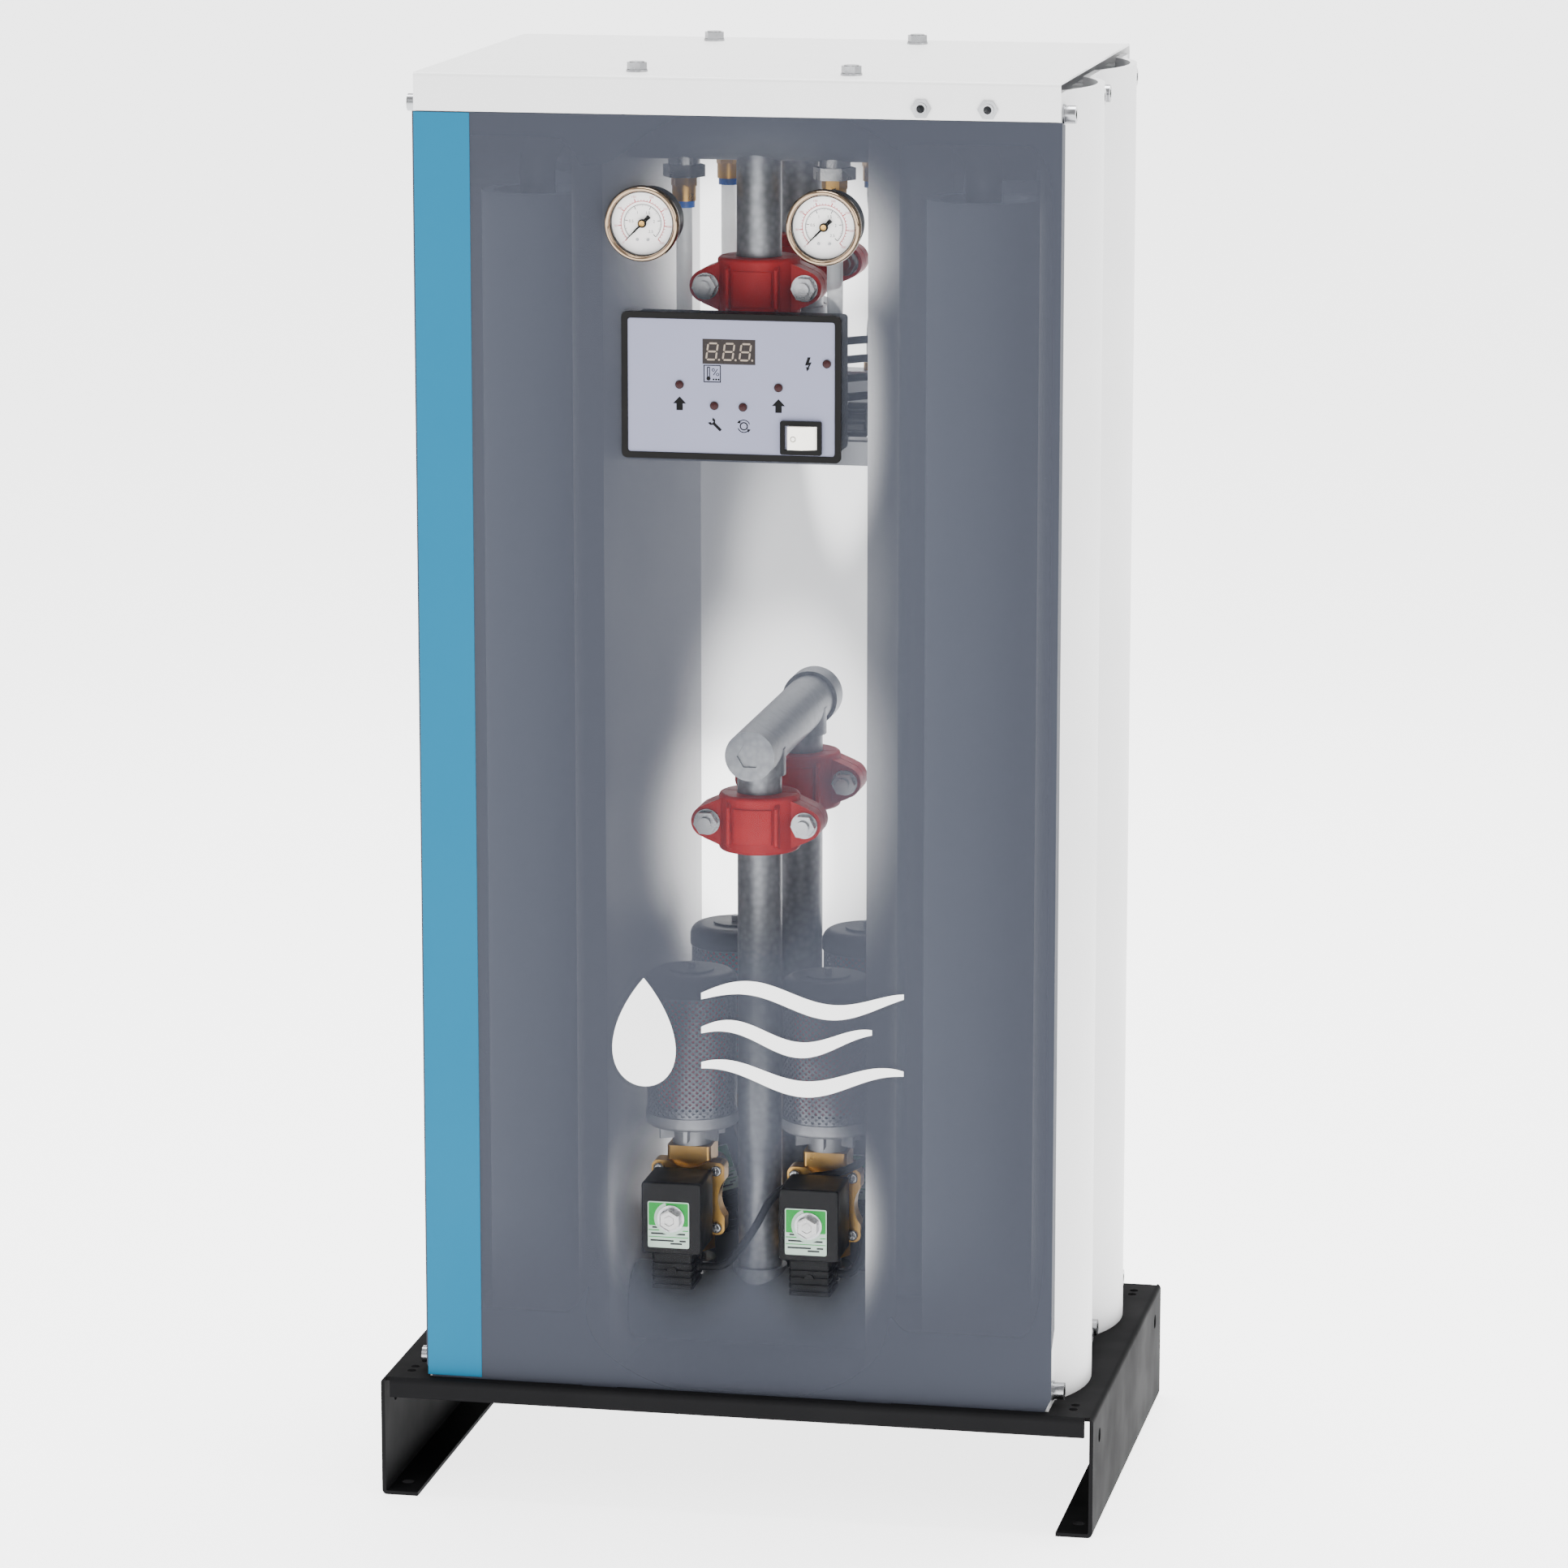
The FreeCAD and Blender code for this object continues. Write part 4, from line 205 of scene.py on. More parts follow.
# Nickel plate on turned fittings: clean warm-grey metal with sharp glints.
finishes["steel_fitting"] = surface("nickel_plate", "#A5A5A4", "#8F8F8F", 2.1, 0.004, 12,
                                    Roughness=0.24, Metallic=1.0)
# Moulded acetal release collars: strong blue with a waxy shine.
finishes["collar_blue"] = surface("blue_acetal", "#2C62C4", "#2453AA", 2.4, 0.008, 8, Roughness=0.35)
# Phenolic moulding: off-black with a soft gloss.
finishes["knob_black"] = surface("phenolic_knob", "#19191A", "#121213", 1.8, 0.01, 10, Roughness=0.4)
# Extruded PVC sheath: black and slightly wavy along the cable.
finishes["cable_black"] = surface("pvc_sheath", "#0A0A0B", "#070708", 3.6, 0.03, 12, **satin, Roughness=0.5)
# Machined white acetal: creamy white and waxy.
finishes["shuttle_white"] = surface("white_acetal", "#E2E0DA", "#D6D4CD", 3.0, 0.006, 10, Roughness=0.4)


def anodised_tube():
    """Thick-walled drawn tube, dark anodised, with a painted glow: faces turned left glow brighter and faces
    turned right dimmer, painted side light that lets the tubes read through the smoked sheet.
    """
    made = surface("anodised_tube", "#3C3F49", "#353842", 3.6, 0.01, 90, **satin, Roughness=0.55)
    tree = made.node_tree
    shader = tree.nodes["Principled BSDF"]
    facing = add_node(tree, "ShaderNodeTexCoord").outputs["Normal"]
    axes = add_node(tree, "ShaderNodeSeparateXYZ", {}, {0: facing})
    # Painted side light: each face's glow is set by which way it looks, strongest to the left, though the tube is
    # no lamp.
    left, right = (-0.95, 0.75), (0.80, 0.20)  # which way a face looks, and how much it glows
    painted_glow = add_node(tree, "ShaderNodeMapRange", {},
                    {"Value": axes.outputs["X"], "From Min": left[0], "From Max": right[0],
                     "To Min": left[1], "To Max": right[1]})
    shader.inputs["Emission Color"].default_value = paint("#8A909E")
    tree.links.new(painted_glow.outputs[0], shader.inputs["Emission Strength"])
    return made


def galvanised_pipe():
    """Hot-dipped steel pipe: dull silver with zinc crystals some 5 mm across and a rough skin."""
    made, tree, shader = new_finish("galvanised_pipe", {"Metallic": 0.85, "Roughness": 0.42})
    place = add_node(tree, "ShaderNodeTexCoord").outputs["Object"]
    crystal = add_node(tree, "ShaderNodeTexVoronoi", {}, {"Vector": place, "Scale": 1000 / 5})
    shade = add_node(tree, "ShaderNodeMix", {"data_type": "RGBA"},
                     {0: crystal.outputs["Distance"], 6: paint("#8F9194"), 7: paint("#75777B")})
    tree.links.new(shade.outputs[2], shader.inputs["Base Color"])
    skin = add_node(tree, "ShaderNodeTexNoise", {}, {"Vector": place, "Scale": 1000 / 1.4, "Detail": 3.0})
    bump = add_node(tree, "ShaderNodeBump", {}, {"Height": skin.outputs["Fac"], "Distance": 0.06 * MM})
    tree.links.new(bump.outputs["Normal"], shader.inputs["Normal"])
    return made


def bead_bed():
    """Activated alumina beads about 4 mm across, seen as a packed bed; each bead darkens towards its rim, painted
    shade in the gaps where the beads meet.
    """
    made, tree, shader = new_finish("alumina_beads", {"Roughness": 0.8})
    place = add_node(tree, "ShaderNodeTexCoord").outputs["Object"]
    bead = add_node(tree, "ShaderNodeTexVoronoi", {}, {"Vector": place, "Scale": 1000 / 4})
    # Pale in the middle of each bead and grey-brown at its rim: painted shade between the beads.
    shade = add_node(tree, "ShaderNodeMix", {"data_type": "RGBA"},
                     {0: bead.outputs["Distance"], 6: paint("#E3DED2"), 7: paint("#8D877A")})
    tree.links.new(shade.outputs[2], shader.inputs["Base Color"])
    bump = add_node(tree, "ShaderNodeBump", {"invert": True},
                    {"Height": bead.outputs["Distance"], "Distance": 1.5 * MM})
    tree.links.new(bump.outputs["Normal"], shader.inputs["Normal"])
    return made


def smoked_sheet():
    """Blue-grey tinted sheet: dense at its head, foot and edges, and clear in soft spots over the works, where its
    tint turns lighter as a painted glow.
    """
    made, tree, shader = new_finish("smoked_sheet",
                                    {"Roughness": 0.5, "IOR": 1.49, "Specular IOR Level": 0.08})
    place = add_node(tree, "ShaderNodeTexCoord").outputs["Object"]
    axes = add_node(tree, "ShaderNodeSeparateXYZ", {}, {0: place})
    across = add_node(tree, "ShaderNodeMath", {"operation": "ABSOLUTE"}, {0: axes.outputs["X"]})
    soft_step = {"interpolation_type": "SMOOTHSTEP"}
    densest = 0.97  # the sheet's alpha where nothing clears it
    run_together = 0.12  # how softly one clear spot passes into the next

    def spot(x, z, wide, high, strength):
        """How much a soft oval clears, from its full strength in the middle to nothing at its edge."""
        away = add_node(tree, "ShaderNodeVectorMath", {"operation": "SUBTRACT"}, {0: place, 1: (x, 0, z)})
        round_off = add_node(tree, "ShaderNodeVectorMath", {"operation": "MULTIPLY"},
                             {0: away.outputs[0], 1: (1 / wide, 0, 1 / high)})
        reach = add_node(tree, "ShaderNodeVectorMath", {"operation": "LENGTH"}, {0: round_off.outputs[0]})
        return add_node(tree, "ShaderNodeMapRange", soft_step,
                        {"Value": reach.outputs["Value"], "From Min": 1.0, "From Max": 0.32,
                         "To Max": strength})

    # The ovals over the works: middle, half width and half height in metres, and strength.
    clear = spot(0.045, 0.570, 0.130, 0.250, 0.66)
    for oval in ((0.060, 0.700, 0.110, 0.260, 0.46), (0.0, 0.320, 0.125, 0.170, 0.56),
                 (-0.038, 0.228, 0.088, 0.135, 0.95), (0.058, 0.228, 0.080, 0.135, 0.95),
                 (0.022, 0.965, 0.155, 0.125, 0.93), (0.080, 0.845, 0.055, 0.200, 0.72),
                 (0.0, 0.150, 0.150, 0.080, 0.42), (0.015, 0.520, 0.115, 0.165, 0.88)):
        clear = add_node(tree, "ShaderNodeMath", {"operation": "SMOOTH_MAX"},
                         {0: clear.outputs[0], 1: spot(*oval).outputs[0], 2: run_together})
    # The sheet is thinner to each side of the works, and fades to full density at its rim.
    beside = add_node(tree, "ShaderNodeMapRange", soft_step,
                      {"Value": across.outputs[0], "From Min": 0.112, "From Max": 0.134,
                       "To Min": 0.20, "To Max": 0.49})
    for socket, rim, within in ((axes.outputs["Z"], 0.11, 0.24), (axes.outputs["Z"], 1.07, 0.98),
                                (across.outputs[0], 0.245, 0.215)):
        fade = add_node(tree, "ShaderNodeMapRange", soft_step,
                        {"Value": socket, "From Min": rim, "From Max": within})
        beside = add_node(tree, "ShaderNodeMath", {"operation": "MULTIPLY"},
                          {0: beside.outputs[0], 1: fade.outputs[0]})
    clear = add_node(tree, "ShaderNodeMath", {"operation": "SMOOTH_MAX"},
                     {0: clear.outputs[0], 1: beside.outputs[0], 2: run_together})
    alpha = add_node(tree, "ShaderNodeMath", {"operation": "SUBTRACT"}, {0: densest, 1: clear.outputs[0]})
    tree.links.new(alpha.outputs[0], shader.inputs["Alpha"])
    # The tint is lighter where the sheet clears: a painted glow over the works behind it.
    tint_with_painted_glow = add_node(tree, "ShaderNodeMix", {"data_type": "RGBA"},
                    {0: clear.outputs[0], 6: paint("#373A43"), 7: paint("#4C505B")})
    tree.links.new(tint_with_painted_glow.outputs[2], shader.inputs["Base Color"])
    return made


def clear_sheet(name, colour, alpha, roughness):
    """A clear moulding shown by how little of it meets the eye, with a faint haze that varies."""
    made, tree, shader = new_finish(name, {"Base Color": paint(colour), "Roughness": roughness})
    place = add_node(tree, "ShaderNodeTexCoord").outputs["Object"]
    haze = add_node(tree, "ShaderNodeTexNoise", {}, {"Vector": place, "Scale": 1000 / 12})
    seen = add_node(tree, "ShaderNodeMapRange", {},
                    {"Value": haze.outputs["Fac"], "To Min": alpha * 0.85, "To Max": alpha * 1.15})
    tree.links.new(seen.outputs[0], shader.inputs["Alpha"])
    return made


finishes["pipe_steel"] = galvanised_pipe()
finishes["tube_aluminium"] = anodised_tube()
finishes["desiccant"] = bead_bed()
finishes["smoked_panel"] = smoked_sheet()
# Cast vinyl film: strong cyan, satin.
finishes["cyan_film"] = surface("cyan_vinyl", "#006283", "#005D7E", 2.5, 0.004, 200, **satin, Roughness=0.5)
# Float glass over the dials, nearly unseen, and a nylon hose, milky and half clear.
finishes["lens_glass"] = clear_sheet("gauge_glass", "#3A3E40", 0.025, 0.03)
finishes["clear_tube"] = clear_sheet("nylon_hose", "#DDE2E6", 0.62, 0.25)
# A lit rocker: white opal polycarbonate with a lamp behind it.
finishes["rocker_white"] = surface("opal_polycarbonate", "#FFFDF6", "#FBF6EA", 2.0, 0.003, 20, Roughness=0.25)
lit = finishes["rocker_white"].node_tree.nodes["Principled BSDF"]
lit.inputs["Emission Color"].default_value = paint("#FFF8EA")
lit.inputs["Emission Strength"].default_value = 0.45

for part in frame["record"]["subparts"]:
    for holder in frame["nodes"][part["node"]].material_slots:
        holder.material = finishes[part["material_slot"]]

# Printing inks: thin, even and matt, so each shows little but its colour.
ink_black = surface("black_ink", "#070708", "#050506", 2.4, 0.003, 10, **satin, Roughness=0.6)
ink_red = surface("red_ink", "#B8202E", "#A81C2A", 2.4, 0.003, 10, **satin, Roughness=0.55)
ink_green = surface("green_ink", "#1E8A3A", "#1A7F34", 4.5, 0.003, 10, **satin, Roughness=0.5)
ink_grey = surface("grey_ink", "#2B2C2E", "#242527", 4.5, 0.003, 10, **satin, Roughness=0.5)
# White cut vinyl: bright, with a soft sheen.
ink_white = surface("white_vinyl", "#FFFFFF", "#F6F6F6", 2.0, 0.003, 60, Roughness=0.45)
# Polyester label film: pale green-grey, slightly glossy.
label_film = surface("label_film", "#A9BDB0", "#9DB2A4", 4.5, 0.003, 15, **satin, Roughness=0.45)
# Pale blue-grey polyester face film with a fine matt emboss.
face_film = surface("matt_face_film", "#85879B", "#7F8196", 2.7, 0.02, 70, **satin, Roughness=0.55)
# Tinted acrylic lenses with no lamp lit behind them: very dark red and glossy.
lamp_red = surface("lamp_lens", "#33191B", "#2A1416", 3.0, 0.004, 5, **satin, Roughness=0.25)
# Display segments: cream, with a faint glow of their own.
digit_cream = surface("display_segment", "#85786A", "#7A6D60", 3.0, 0.004, 6, Roughness=0.4)
digit_glow = digit_cream.node_tree.nodes["Principled BSDF"]
digit_glow.inputs["Emission Color"].default_value = paint("#D9C4A6")
digit_glow.inputs["Emission Strength"].default_value = 0.1

# ------------------------------------------------------------------ modelling one by one


def clear_selection():
    bpy.ops.object.select_all(action="DESELECT")


def pick(piece):
    """Only this piece selected, and active."""
    clear_selection()
    piece.select_set(True)
    bpy.context.view_layer.objects.active = piece


def merge(parts):
    """Several meshes made one."""
    clear_selection()
    for part in parts:
        part.select_set(True)
    bpy.context.view_layer.objects.active = parts[0]
    if len(parts) > 1:
        bpy.ops.object.join()
    return bpy.context.object


def settle(piece, name, finish, body="frame"):
    """Puts a piece's place into its mesh, names and finishes it, and fixes it to its body."""
    pick(piece)
    bpy.ops.object.transform_apply(location=True, rotation=True, scale=True)
    piece.name = piece.data.name = name
    piece.data.materials.clear()
    piece.data.materials.append(finish)
    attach(piece, body)
    return piece


def choose_faces(piece, wanted):
    """Back in edit mode with only the faces that pass a test of centre and normal chosen."""
    bpy.ops.object.mode_set(mode="EDIT")
    bpy.ops.mesh.select_mode(type="FACE")
    bpy.ops.mesh.select_all(action="DESELECT")
    bpy.ops.object.mode_set(mode="OBJECT")
    for face in piece.data.polygons:
        face.select = wanted(face.center, face.normal)
    bpy.ops.object.mode_set(mode="EDIT")


def flat_plate(outline, y, thick=0.1):
    """A thin plate facing the front from an outline of (x, z) points in mm, its back at depth y."""
    clear_selection()
    bpy.ops.mesh.primitive_circle_add(vertices=len(outline), fill_type="NGON")
    plate = bpy.context.object
    for vertex, (x, z) in zip(plate.data.vertices, outline):
        vertex.co = (x * MM, y * MM, z * MM)
    bpy.ops.object.mode_set(mode="EDIT")
    bpy.ops.mesh.select_all(action="SELECT")
    bpy.ops.mesh.extrude_region_move(TRANSFORM_OT_translate={"value": (0, -thick * MM, 0)})
    bpy.ops.mesh.select_all(action="SELECT")
    bpy.ops.mesh.normals_make_consistent(inside=False)
    bpy.ops.object.mode_set(mode="OBJECT")
    return plate


def bar(x, z, w, h, lean=0.0):
    """The outline of a straight bar, its middle at x, z, turned by lean degrees."""
    c, s = cos(radians(lean)), sin(radians(lean))
    corners = [(-w / 2, -h / 2), (w / 2, -h / 2), (w / 2, h / 2), (-w / 2, h / 2)]
    return [(x + a * c - b * s, z + a * s + b * c) for a, b in corners]


def rounded_bar(x, z, w, h, r, steps=5):
    """The outline of a bar with round corners."""
    points = []
    for sx, sz, start in ((1, 1, 0), (-1, 1, 90), (-1, -1, 180), (1, -1, 270)):
        for i in range(steps + 1):
            t = radians(start + 90 * i / steps)
            points.append((x + sx * (w / 2 - r) + r * cos(t), z + sz * (h / 2 - r) + r * sin(t)))
    return points


def arc_band(x, z, r_out, r_in, start, end, steps=24):
    """The outline of part of a ring between two angles in degrees."""
    turns = [radians(start + (end - start) * i / steps) for i in range(steps + 1)]
    outer = [(x + r_out * cos(t), z + r_out * sin(t)) for t in turns]
    inner = [(x + r_in * cos(t), z + r_in * sin(t)) for t in reversed(turns)]
    return outer + inner


def disc(x, z, r, steps=20):
    """The outline of a round."""
    return [(x + r * cos(2 * pi * i / steps), z + r * sin(2 * pi * i / steps)) for i in range(steps)]


def shifted(points, x, z, size=1.0):
    """An outline drawn at size, with its origin moved to x, z."""
    return [(x + a * size, z + b * size) for a, b in points]


def low_y(node):
    """The frontmost depth of a node, in mm."""
    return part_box(node)[0].y / MM


def needle_pivot(side):
    """The pivot of one gauge's needle, in metres."""
    return next(j for j in frame["joints"] if j["child"] == f"gauge_needle_{side}")["pos_m"]


# ------------------------------------------------------------------ emblem on the panel
def emblem():
    """A drop of water and three streams of air, in white vinyl."""
    y = low_y("blue_stripe") + 0.3
    drop = []
    for i in range(48):
        t = 2 * pi * i / 48
        drop.append((23 * sin(t) * sin(t / 2) ** 0.9, 31 * cos(t)))
    plates = [flat_plate(shifted(drop, -70, 372, 1.35), y)]
    for row, (left, right, z) in enumerate(((-26, 128, 402), (-26, 104, 372), (-26, 128, 342))):
        top, foot = [], []
        for i in range(41):
            f = i / 40
            x = left + (right - left) * f
            wave = 8 * sin(2 * pi * f * 1.15 + 0.5 * row)
            half = 6.2 * (sin(pi * (0.06 + 0.90 * f))) ** 0.55
            top.append((x, z + wave + half))
            foot.append((x, z + wave - half))
        plates.append(flat_plate(top + foot[::-1], y))
    settle(merge(plates), "panel_emblem", ink_white)


# ------------------------------------------------------------------ controller face
def controller_face():
    """The printed film of the controller with its symbols. Returns the middle of the face, x and z in mm."""
    low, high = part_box("controller_bezel")
    x, z = (low.x + high.x) / 2 / MM, (low.z + high.z) / 2 / MM
    w, h = (high.x - low.x) / MM - 9.4, (high.z - low.z) / MM - 9.4
    floor = low_y("controller_bezel") + 1.0
    settle(flat_plate(rounded_bar(x, z, w, h, 2.0), floor, 0.15), "controller_film", face_film)
    y = floor - 0.16
    inks = []
    arrow = [(-2.4, -5), (2.4, -5), (2.4, 0), (5, 0), (0, 5.2), (-5, 0), (-2.4, 0)]
    for ax in (-38.5, 35.5):
        inks.append(flat_plate(shifted(arrow, x + ax, z - 13.0), y, 0.05))
    bolt = [(-0.4, 5.2), (1.8, 5.2), (0.6, 1.2), (2.6, 1.6), (0.4, -3.0), (1.5, -2.6),
            (-0.9, -5.4), (-1.7, -1.8), (-0.7, -2.4), (0.4, -0.6), (-2.4, -1.0)]
    inks.append(flat_plate(shifted(bolt, x + 57.6, z + 18.4), y, 0.05))
    spanner = [(-1.0, -5.0), (1.0, -5.0), (1.0, 1.6), (2.6, 3.0), (2.6, 5.4), (0.9, 4.4),
               (0.9, 2.9), (-0.9, 2.9), (-0.9, 4.4), (-2.6, 5.4), (-2.6, 3.0), (-1.0, 1.6)]
    c, s = cos(radians(46)), sin(radians(46))
    leaned = [(a * c - b * s, a * s + b * c) for a, b in spanner]
    inks.append(flat_plate(shifted(leaned, x - 11.4, z - 28.6, 1.05), y, 0.05))
    inks.append(flat_plate(arc_band(x + 9.6, z - 28.6, 3.1, 2.2, 0, 359), y, 0.05))
    for start in (20, 200):
        inks.append(flat_plate(arc_band(x + 9.6, z - 28.6, 4.9, 4.2, start, start + 120, 12), y, 0.05))
        t = radians(start + 120)
        tip = [(0, 1.5), (-1.5, -0.9), (1.5, -0.9)]
        cx, cz = x + 9.6 + 4.55 * cos(t), z - 28.6 + 4.55 * sin(t)
        turned = [(cx + a * sin(t) * -1 + b * -cos(t), cz + a * cos(t) - b * sin(t)) for a, b in tip]
        inks.append(flat_plate(turned, y, 0.05))
    bx, bz = x - 14.0, z + 9.6
    for dx, dz, bw, bh in ((0, 6.1, 12.8, 0.7), (0, -6.1, 12.8, 0.7), (-6.1, 0, 0.7, 12.8),
                           (6.1, 0, 0.7, 12.8), (-3.6, 1.0, 0.7, 7.6), (-2.0, 1.0, 0.7, 7.6),
                           (-2.8, 4.8, 1.9, 0.7)):
        inks.append(flat_plate(bar(bx + dx, bz + dz, bw, bh), y, 0.05))
    inks.append(flat_plate(disc(bx - 2.8, bz - 3.6, 1.6, 14), y, 0.05))
    inks.append(flat_plate(bar(bx + 2.4, bz + 1.2, 0.6, 5.6, -35), y, 0.05))
    for dx, dz in ((0.8, 2.8), (4.0, -0.5)):
        inks.append(flat_plate(arc_band(bx + dx, bz + dz, 1.2, 0.7, 0, 359, 14), y, 0.05))
    for i in range(3):
        inks.append(flat_plate(disc(bx + 1.0 + 1.9 * i, bz - 4.2, 0.75, 10), y, 0.05))
    settle(merge(inks), "controller_symbols", ink_black)
    return x, z


def segment_digits(x, z):
    """Three figures of seven segments each, leaning a little to the right."""
    front = low_y("controller_bezel") + 0.8
    w, h, stroke, gap = 7.2, 12.0, 1.25, 0.3
    parts = []
    lean = 0.14  # how far a figure leans for its height
    for cx in (-12.6, -0.2, 12.2):
        for i in range(7):
            upright = i in (1, 2, 4, 5)
            length = (h / 2 if upright else w) - gap - stroke * 0.5
            e = stroke / 2
            hexagon = [(-length / 2, 0), (-length / 2 + e, -e), (length / 2 - e, -e), (length / 2, 0),
                       (length / 2 - e, e), (-length / 2 + e, e)]
            ox = {1: w / 2, 2: w / 2, 4: -w / 2, 5: -w / 2}.get(i, 0)
            oz = {0: h / 2, 1: h / 4, 2: -h / 4, 3: -h / 2, 4: -h / 4, 5: h / 4, 6: 0}[i]
            points = []
            for a, b in hexagon:
                px, pz = (-b + ox, a + oz) if upright else (a + ox, b + oz)
                points.append((x - 1.5 + cx + px + pz * lean, z + 26 + pz))
            parts.append(flat_plate(points, front - 0.02, 0.05))
        parts.append(flat_plate(disc(x - 1.5 + cx + 5.2, z + 26 - 6.0, 0.75, 12), front - 0.02, 0.05))
    settle(merge(parts), "display_figures", digit_cream)


def lamp_domes(x, z):
    """Five low round lenses that stand just proud of the face."""
    front = low_y("display_and_lamps")
    lenses = []
    for dx, dz in ((-38.5, 1.0), (-12.5, -14.0), (9.0, -14.5), (35.5, 0.5), (71.5, 19.0)):
        clear_selection()
        bpy.ops.mesh.primitive_uv_sphere_add(segments=24, ring_count=12, radius=2.8 * MM,
                                             location=((x + dx) * MM, front * MM, (z + dz) * MM))
        lens = bpy.context.object
        lens.rotation_euler = (pi / 2, 0, 0)
        lens.scale = (1, 1, 0.32)
        pick(lens)
        bpy.ops.object.transform_apply(location=True, rotation=True, scale=True)
        lenses.append(lens)
    domes = merge(lenses)
    bpy.ops.object.shade_smooth()
    settle(domes, "indicator_lenses", lamp_red)


def rocker_marks():
    """A ring for off on the half that stands square, and a bar for on along the half that is pressed in."""
    low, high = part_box("switch_rocker")
    x, z = (low.x + high.x) / 2 / MM, (low.z + high.z) / 2 / MM
    front = low.y / MM
    off = flat_plate(arc_band(x - 6.2, z - 0.5, 2.1, 1.6, 0, 359), front - 0.02, 0.06)
    on = flat_plate(bar(0, 0, 3.0, 0.55), 0, 0.06)
    on.location = ((x + 3.8) * MM, (front + 1.28) * MM, (z - 0.5) * MM)
    on.rotation_euler = (0, 0, radians(20))
    pick(on)
    bpy.ops.object.transform_apply(location=True, rotation=True, scale=True)
    settle(merge([off, on]), "rocker_marks", ink_black, "switch_rocker")


# ------------------------------------------------------------------ gauge dials
def figures(text, x, y, z, height):
    """Upright figures that face the front."""
    clear_selection()
    bpy.ops.object.text_add(location=(x * MM, y * MM, z * MM), rotation=(pi / 2, 0, 0))
    letters = bpy.context.object
    letters.data.body = text
    letters.data.size = height * MM
    letters.data.align_x = "CENTER"
    letters.data.align_y = "CENTER"
    letters.data.extrude = 0.02 * MM
    bpy.ops.object.convert(target="MESH")
    pick(letters)
    bpy.ops.object.transform_apply(location=True, rotation=True, scale=True)
    return letters


def dial_print(side):
    """Two scales through three quarters of a turn: black inside and red outside, from lower left."""
    needle = f"gauge_needle_{side}"
    x, _, z = [c / MM for c in needle_pivot(side)]
    y = low_y("gauge_dials") - 0.01
    first, turn, ink = 225, 270, 0.03  # the zero's angle, the sweep in degrees and the ink's thickness

    def mark(share, inner, outer, width):
        """A stroke between two radii, at a share of the sweep."""
        angle = first - turn * share
        mid = (inner + outer) / 2
        stroke_x, stroke_z = x + mid * cos(radians(angle)), z + mid * sin(radians(angle))
        return flat_plate(bar(stroke_x, stroke_z, outer - inner, width, angle), y, ink)

    black, red = [], []
    for i in range(51):
        inner = 11.2 if i % 10 == 0 else 12.3 if i % 5 == 0 else 12.9
        black.append(mark(i / 50, inner, 13.9, 0.55 if i % 10 == 0 else 0.32))
    black.append(flat_plate(arc_band(x, z, 14.1, 13.7, first - turn, first, 60), y, ink))
    for i in range(36):
        red.append(mark(i / 35, 16.2, 18.6 if i % 5 == 0 else 17.4, 0.7 if i % 5 == 0 else 0.38))
    red.append(flat_plate(arc_band(x, z, 16.4, 15.9, first - turn, first, 60), y, ink))
    for i, text in enumerate(("0", "0.5", "1", "1.5", "2", "2.5")):
        t = radians(first - turn * i / 5)
        black.append(figures(text, x + 8.6 * cos(t), y - 0.02, z + 8.6 * sin(t), 3.0))
    for i, text in enumerate(("0", "50", "100", "150", "200", "250", "300", "350")):
        t = radians(first - turn * i / 7)
        red.append(figures(text, x + 20.2 * cos(t), y - 0.02, z + 20.2 * sin(t), 2.3))
    settle(merge(black), f"dial_scale_{side}", ink_black)
    settle(merge(red), f"dial_outer_scale_{side}", ink_red)
    pins = []
    for dx in (-4.0, 4.0):
        clear_selection()
        place = ((x + dx) * MM, (y - 0.3) * MM, (z - 12.0) * MM)
        bpy.ops.mesh.primitive_cylinder_add(vertices=20, radius=1.1 * MM, depth=0.8 * MM,
                                            rotation=(pi / 2, 0, 0), location=place)
        pin = bpy.context.object
        bpy.ops.object.mode_set(mode="EDIT")
        bpy.ops.mesh.select_all(action="SELECT")
        bpy.ops.mesh.bevel(offset=0.25 * MM, segments=2, affect="EDGES")
        bpy.ops.object.mode_set(mode="OBJECT")
        pins.append(pin)
    settle(merge(pins), f"dial_screws_{side}", finishes["zinc_steel"])
    clear_selection()
    place = (x * MM, (low_y(needle) - 0.4) * MM, z * MM)
    bpy.ops.mesh.primitive_cylinder_add(vertices=28, radius=2.1 * MM, depth=0.9 * MM,
                                        rotation=(pi / 2, 0, 0), location=place)
    cap = bpy.context.object
    choose_faces(cap, lambda centre, normal: normal.z > 0.9)
    bpy.ops.mesh.inset(thickness=1.0 * MM)
    bpy.ops.transform.translate(value=(0, 0.25 * MM, 0))
    bpy.ops.object.mode_set(mode="OBJECT")
    settle(cap, f"needle_cap_{side}", finishes["brass"], needle)


def bezel_rings():
    """A chrome ring round each dial, rolled round over the rim of its case."""
    low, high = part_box("gauge_bezels")
    outer, inner = 28.0, 23.3
    for side in ("left", "right"):
        x, _, z = needle_pivot(side)
        clear_selection()
        bpy.ops.mesh.primitive_torus_add(major_segments=96, major_radius=(outer + inner) / 2 * MM,
                                         minor_segments=24, minor_radius=(outer - inner) / 2 * MM,
                                         rotation=(pi / 2, 0, 0), location=(x, (low.y + high.y) / 2, z))
        ring = bpy.context.object
        ring.scale = (1, 1, (high.y - low.y) / ((outer - inner) * MM))
        bpy.ops.object.shade_smooth()
        settle(ring, f"bezel_ring_{side}", finishes["chrome"])
        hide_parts("gauge_bezels")


# ------------------------------------------------------------------ perforated jackets
JACKET_R = 34.5  # outside radius of a silencer's jacket, in mm
VALVE_Z = 224  # height of the valves' axes, in mm
COIL_DEPTH = 44  # front to back of one coil, in mm


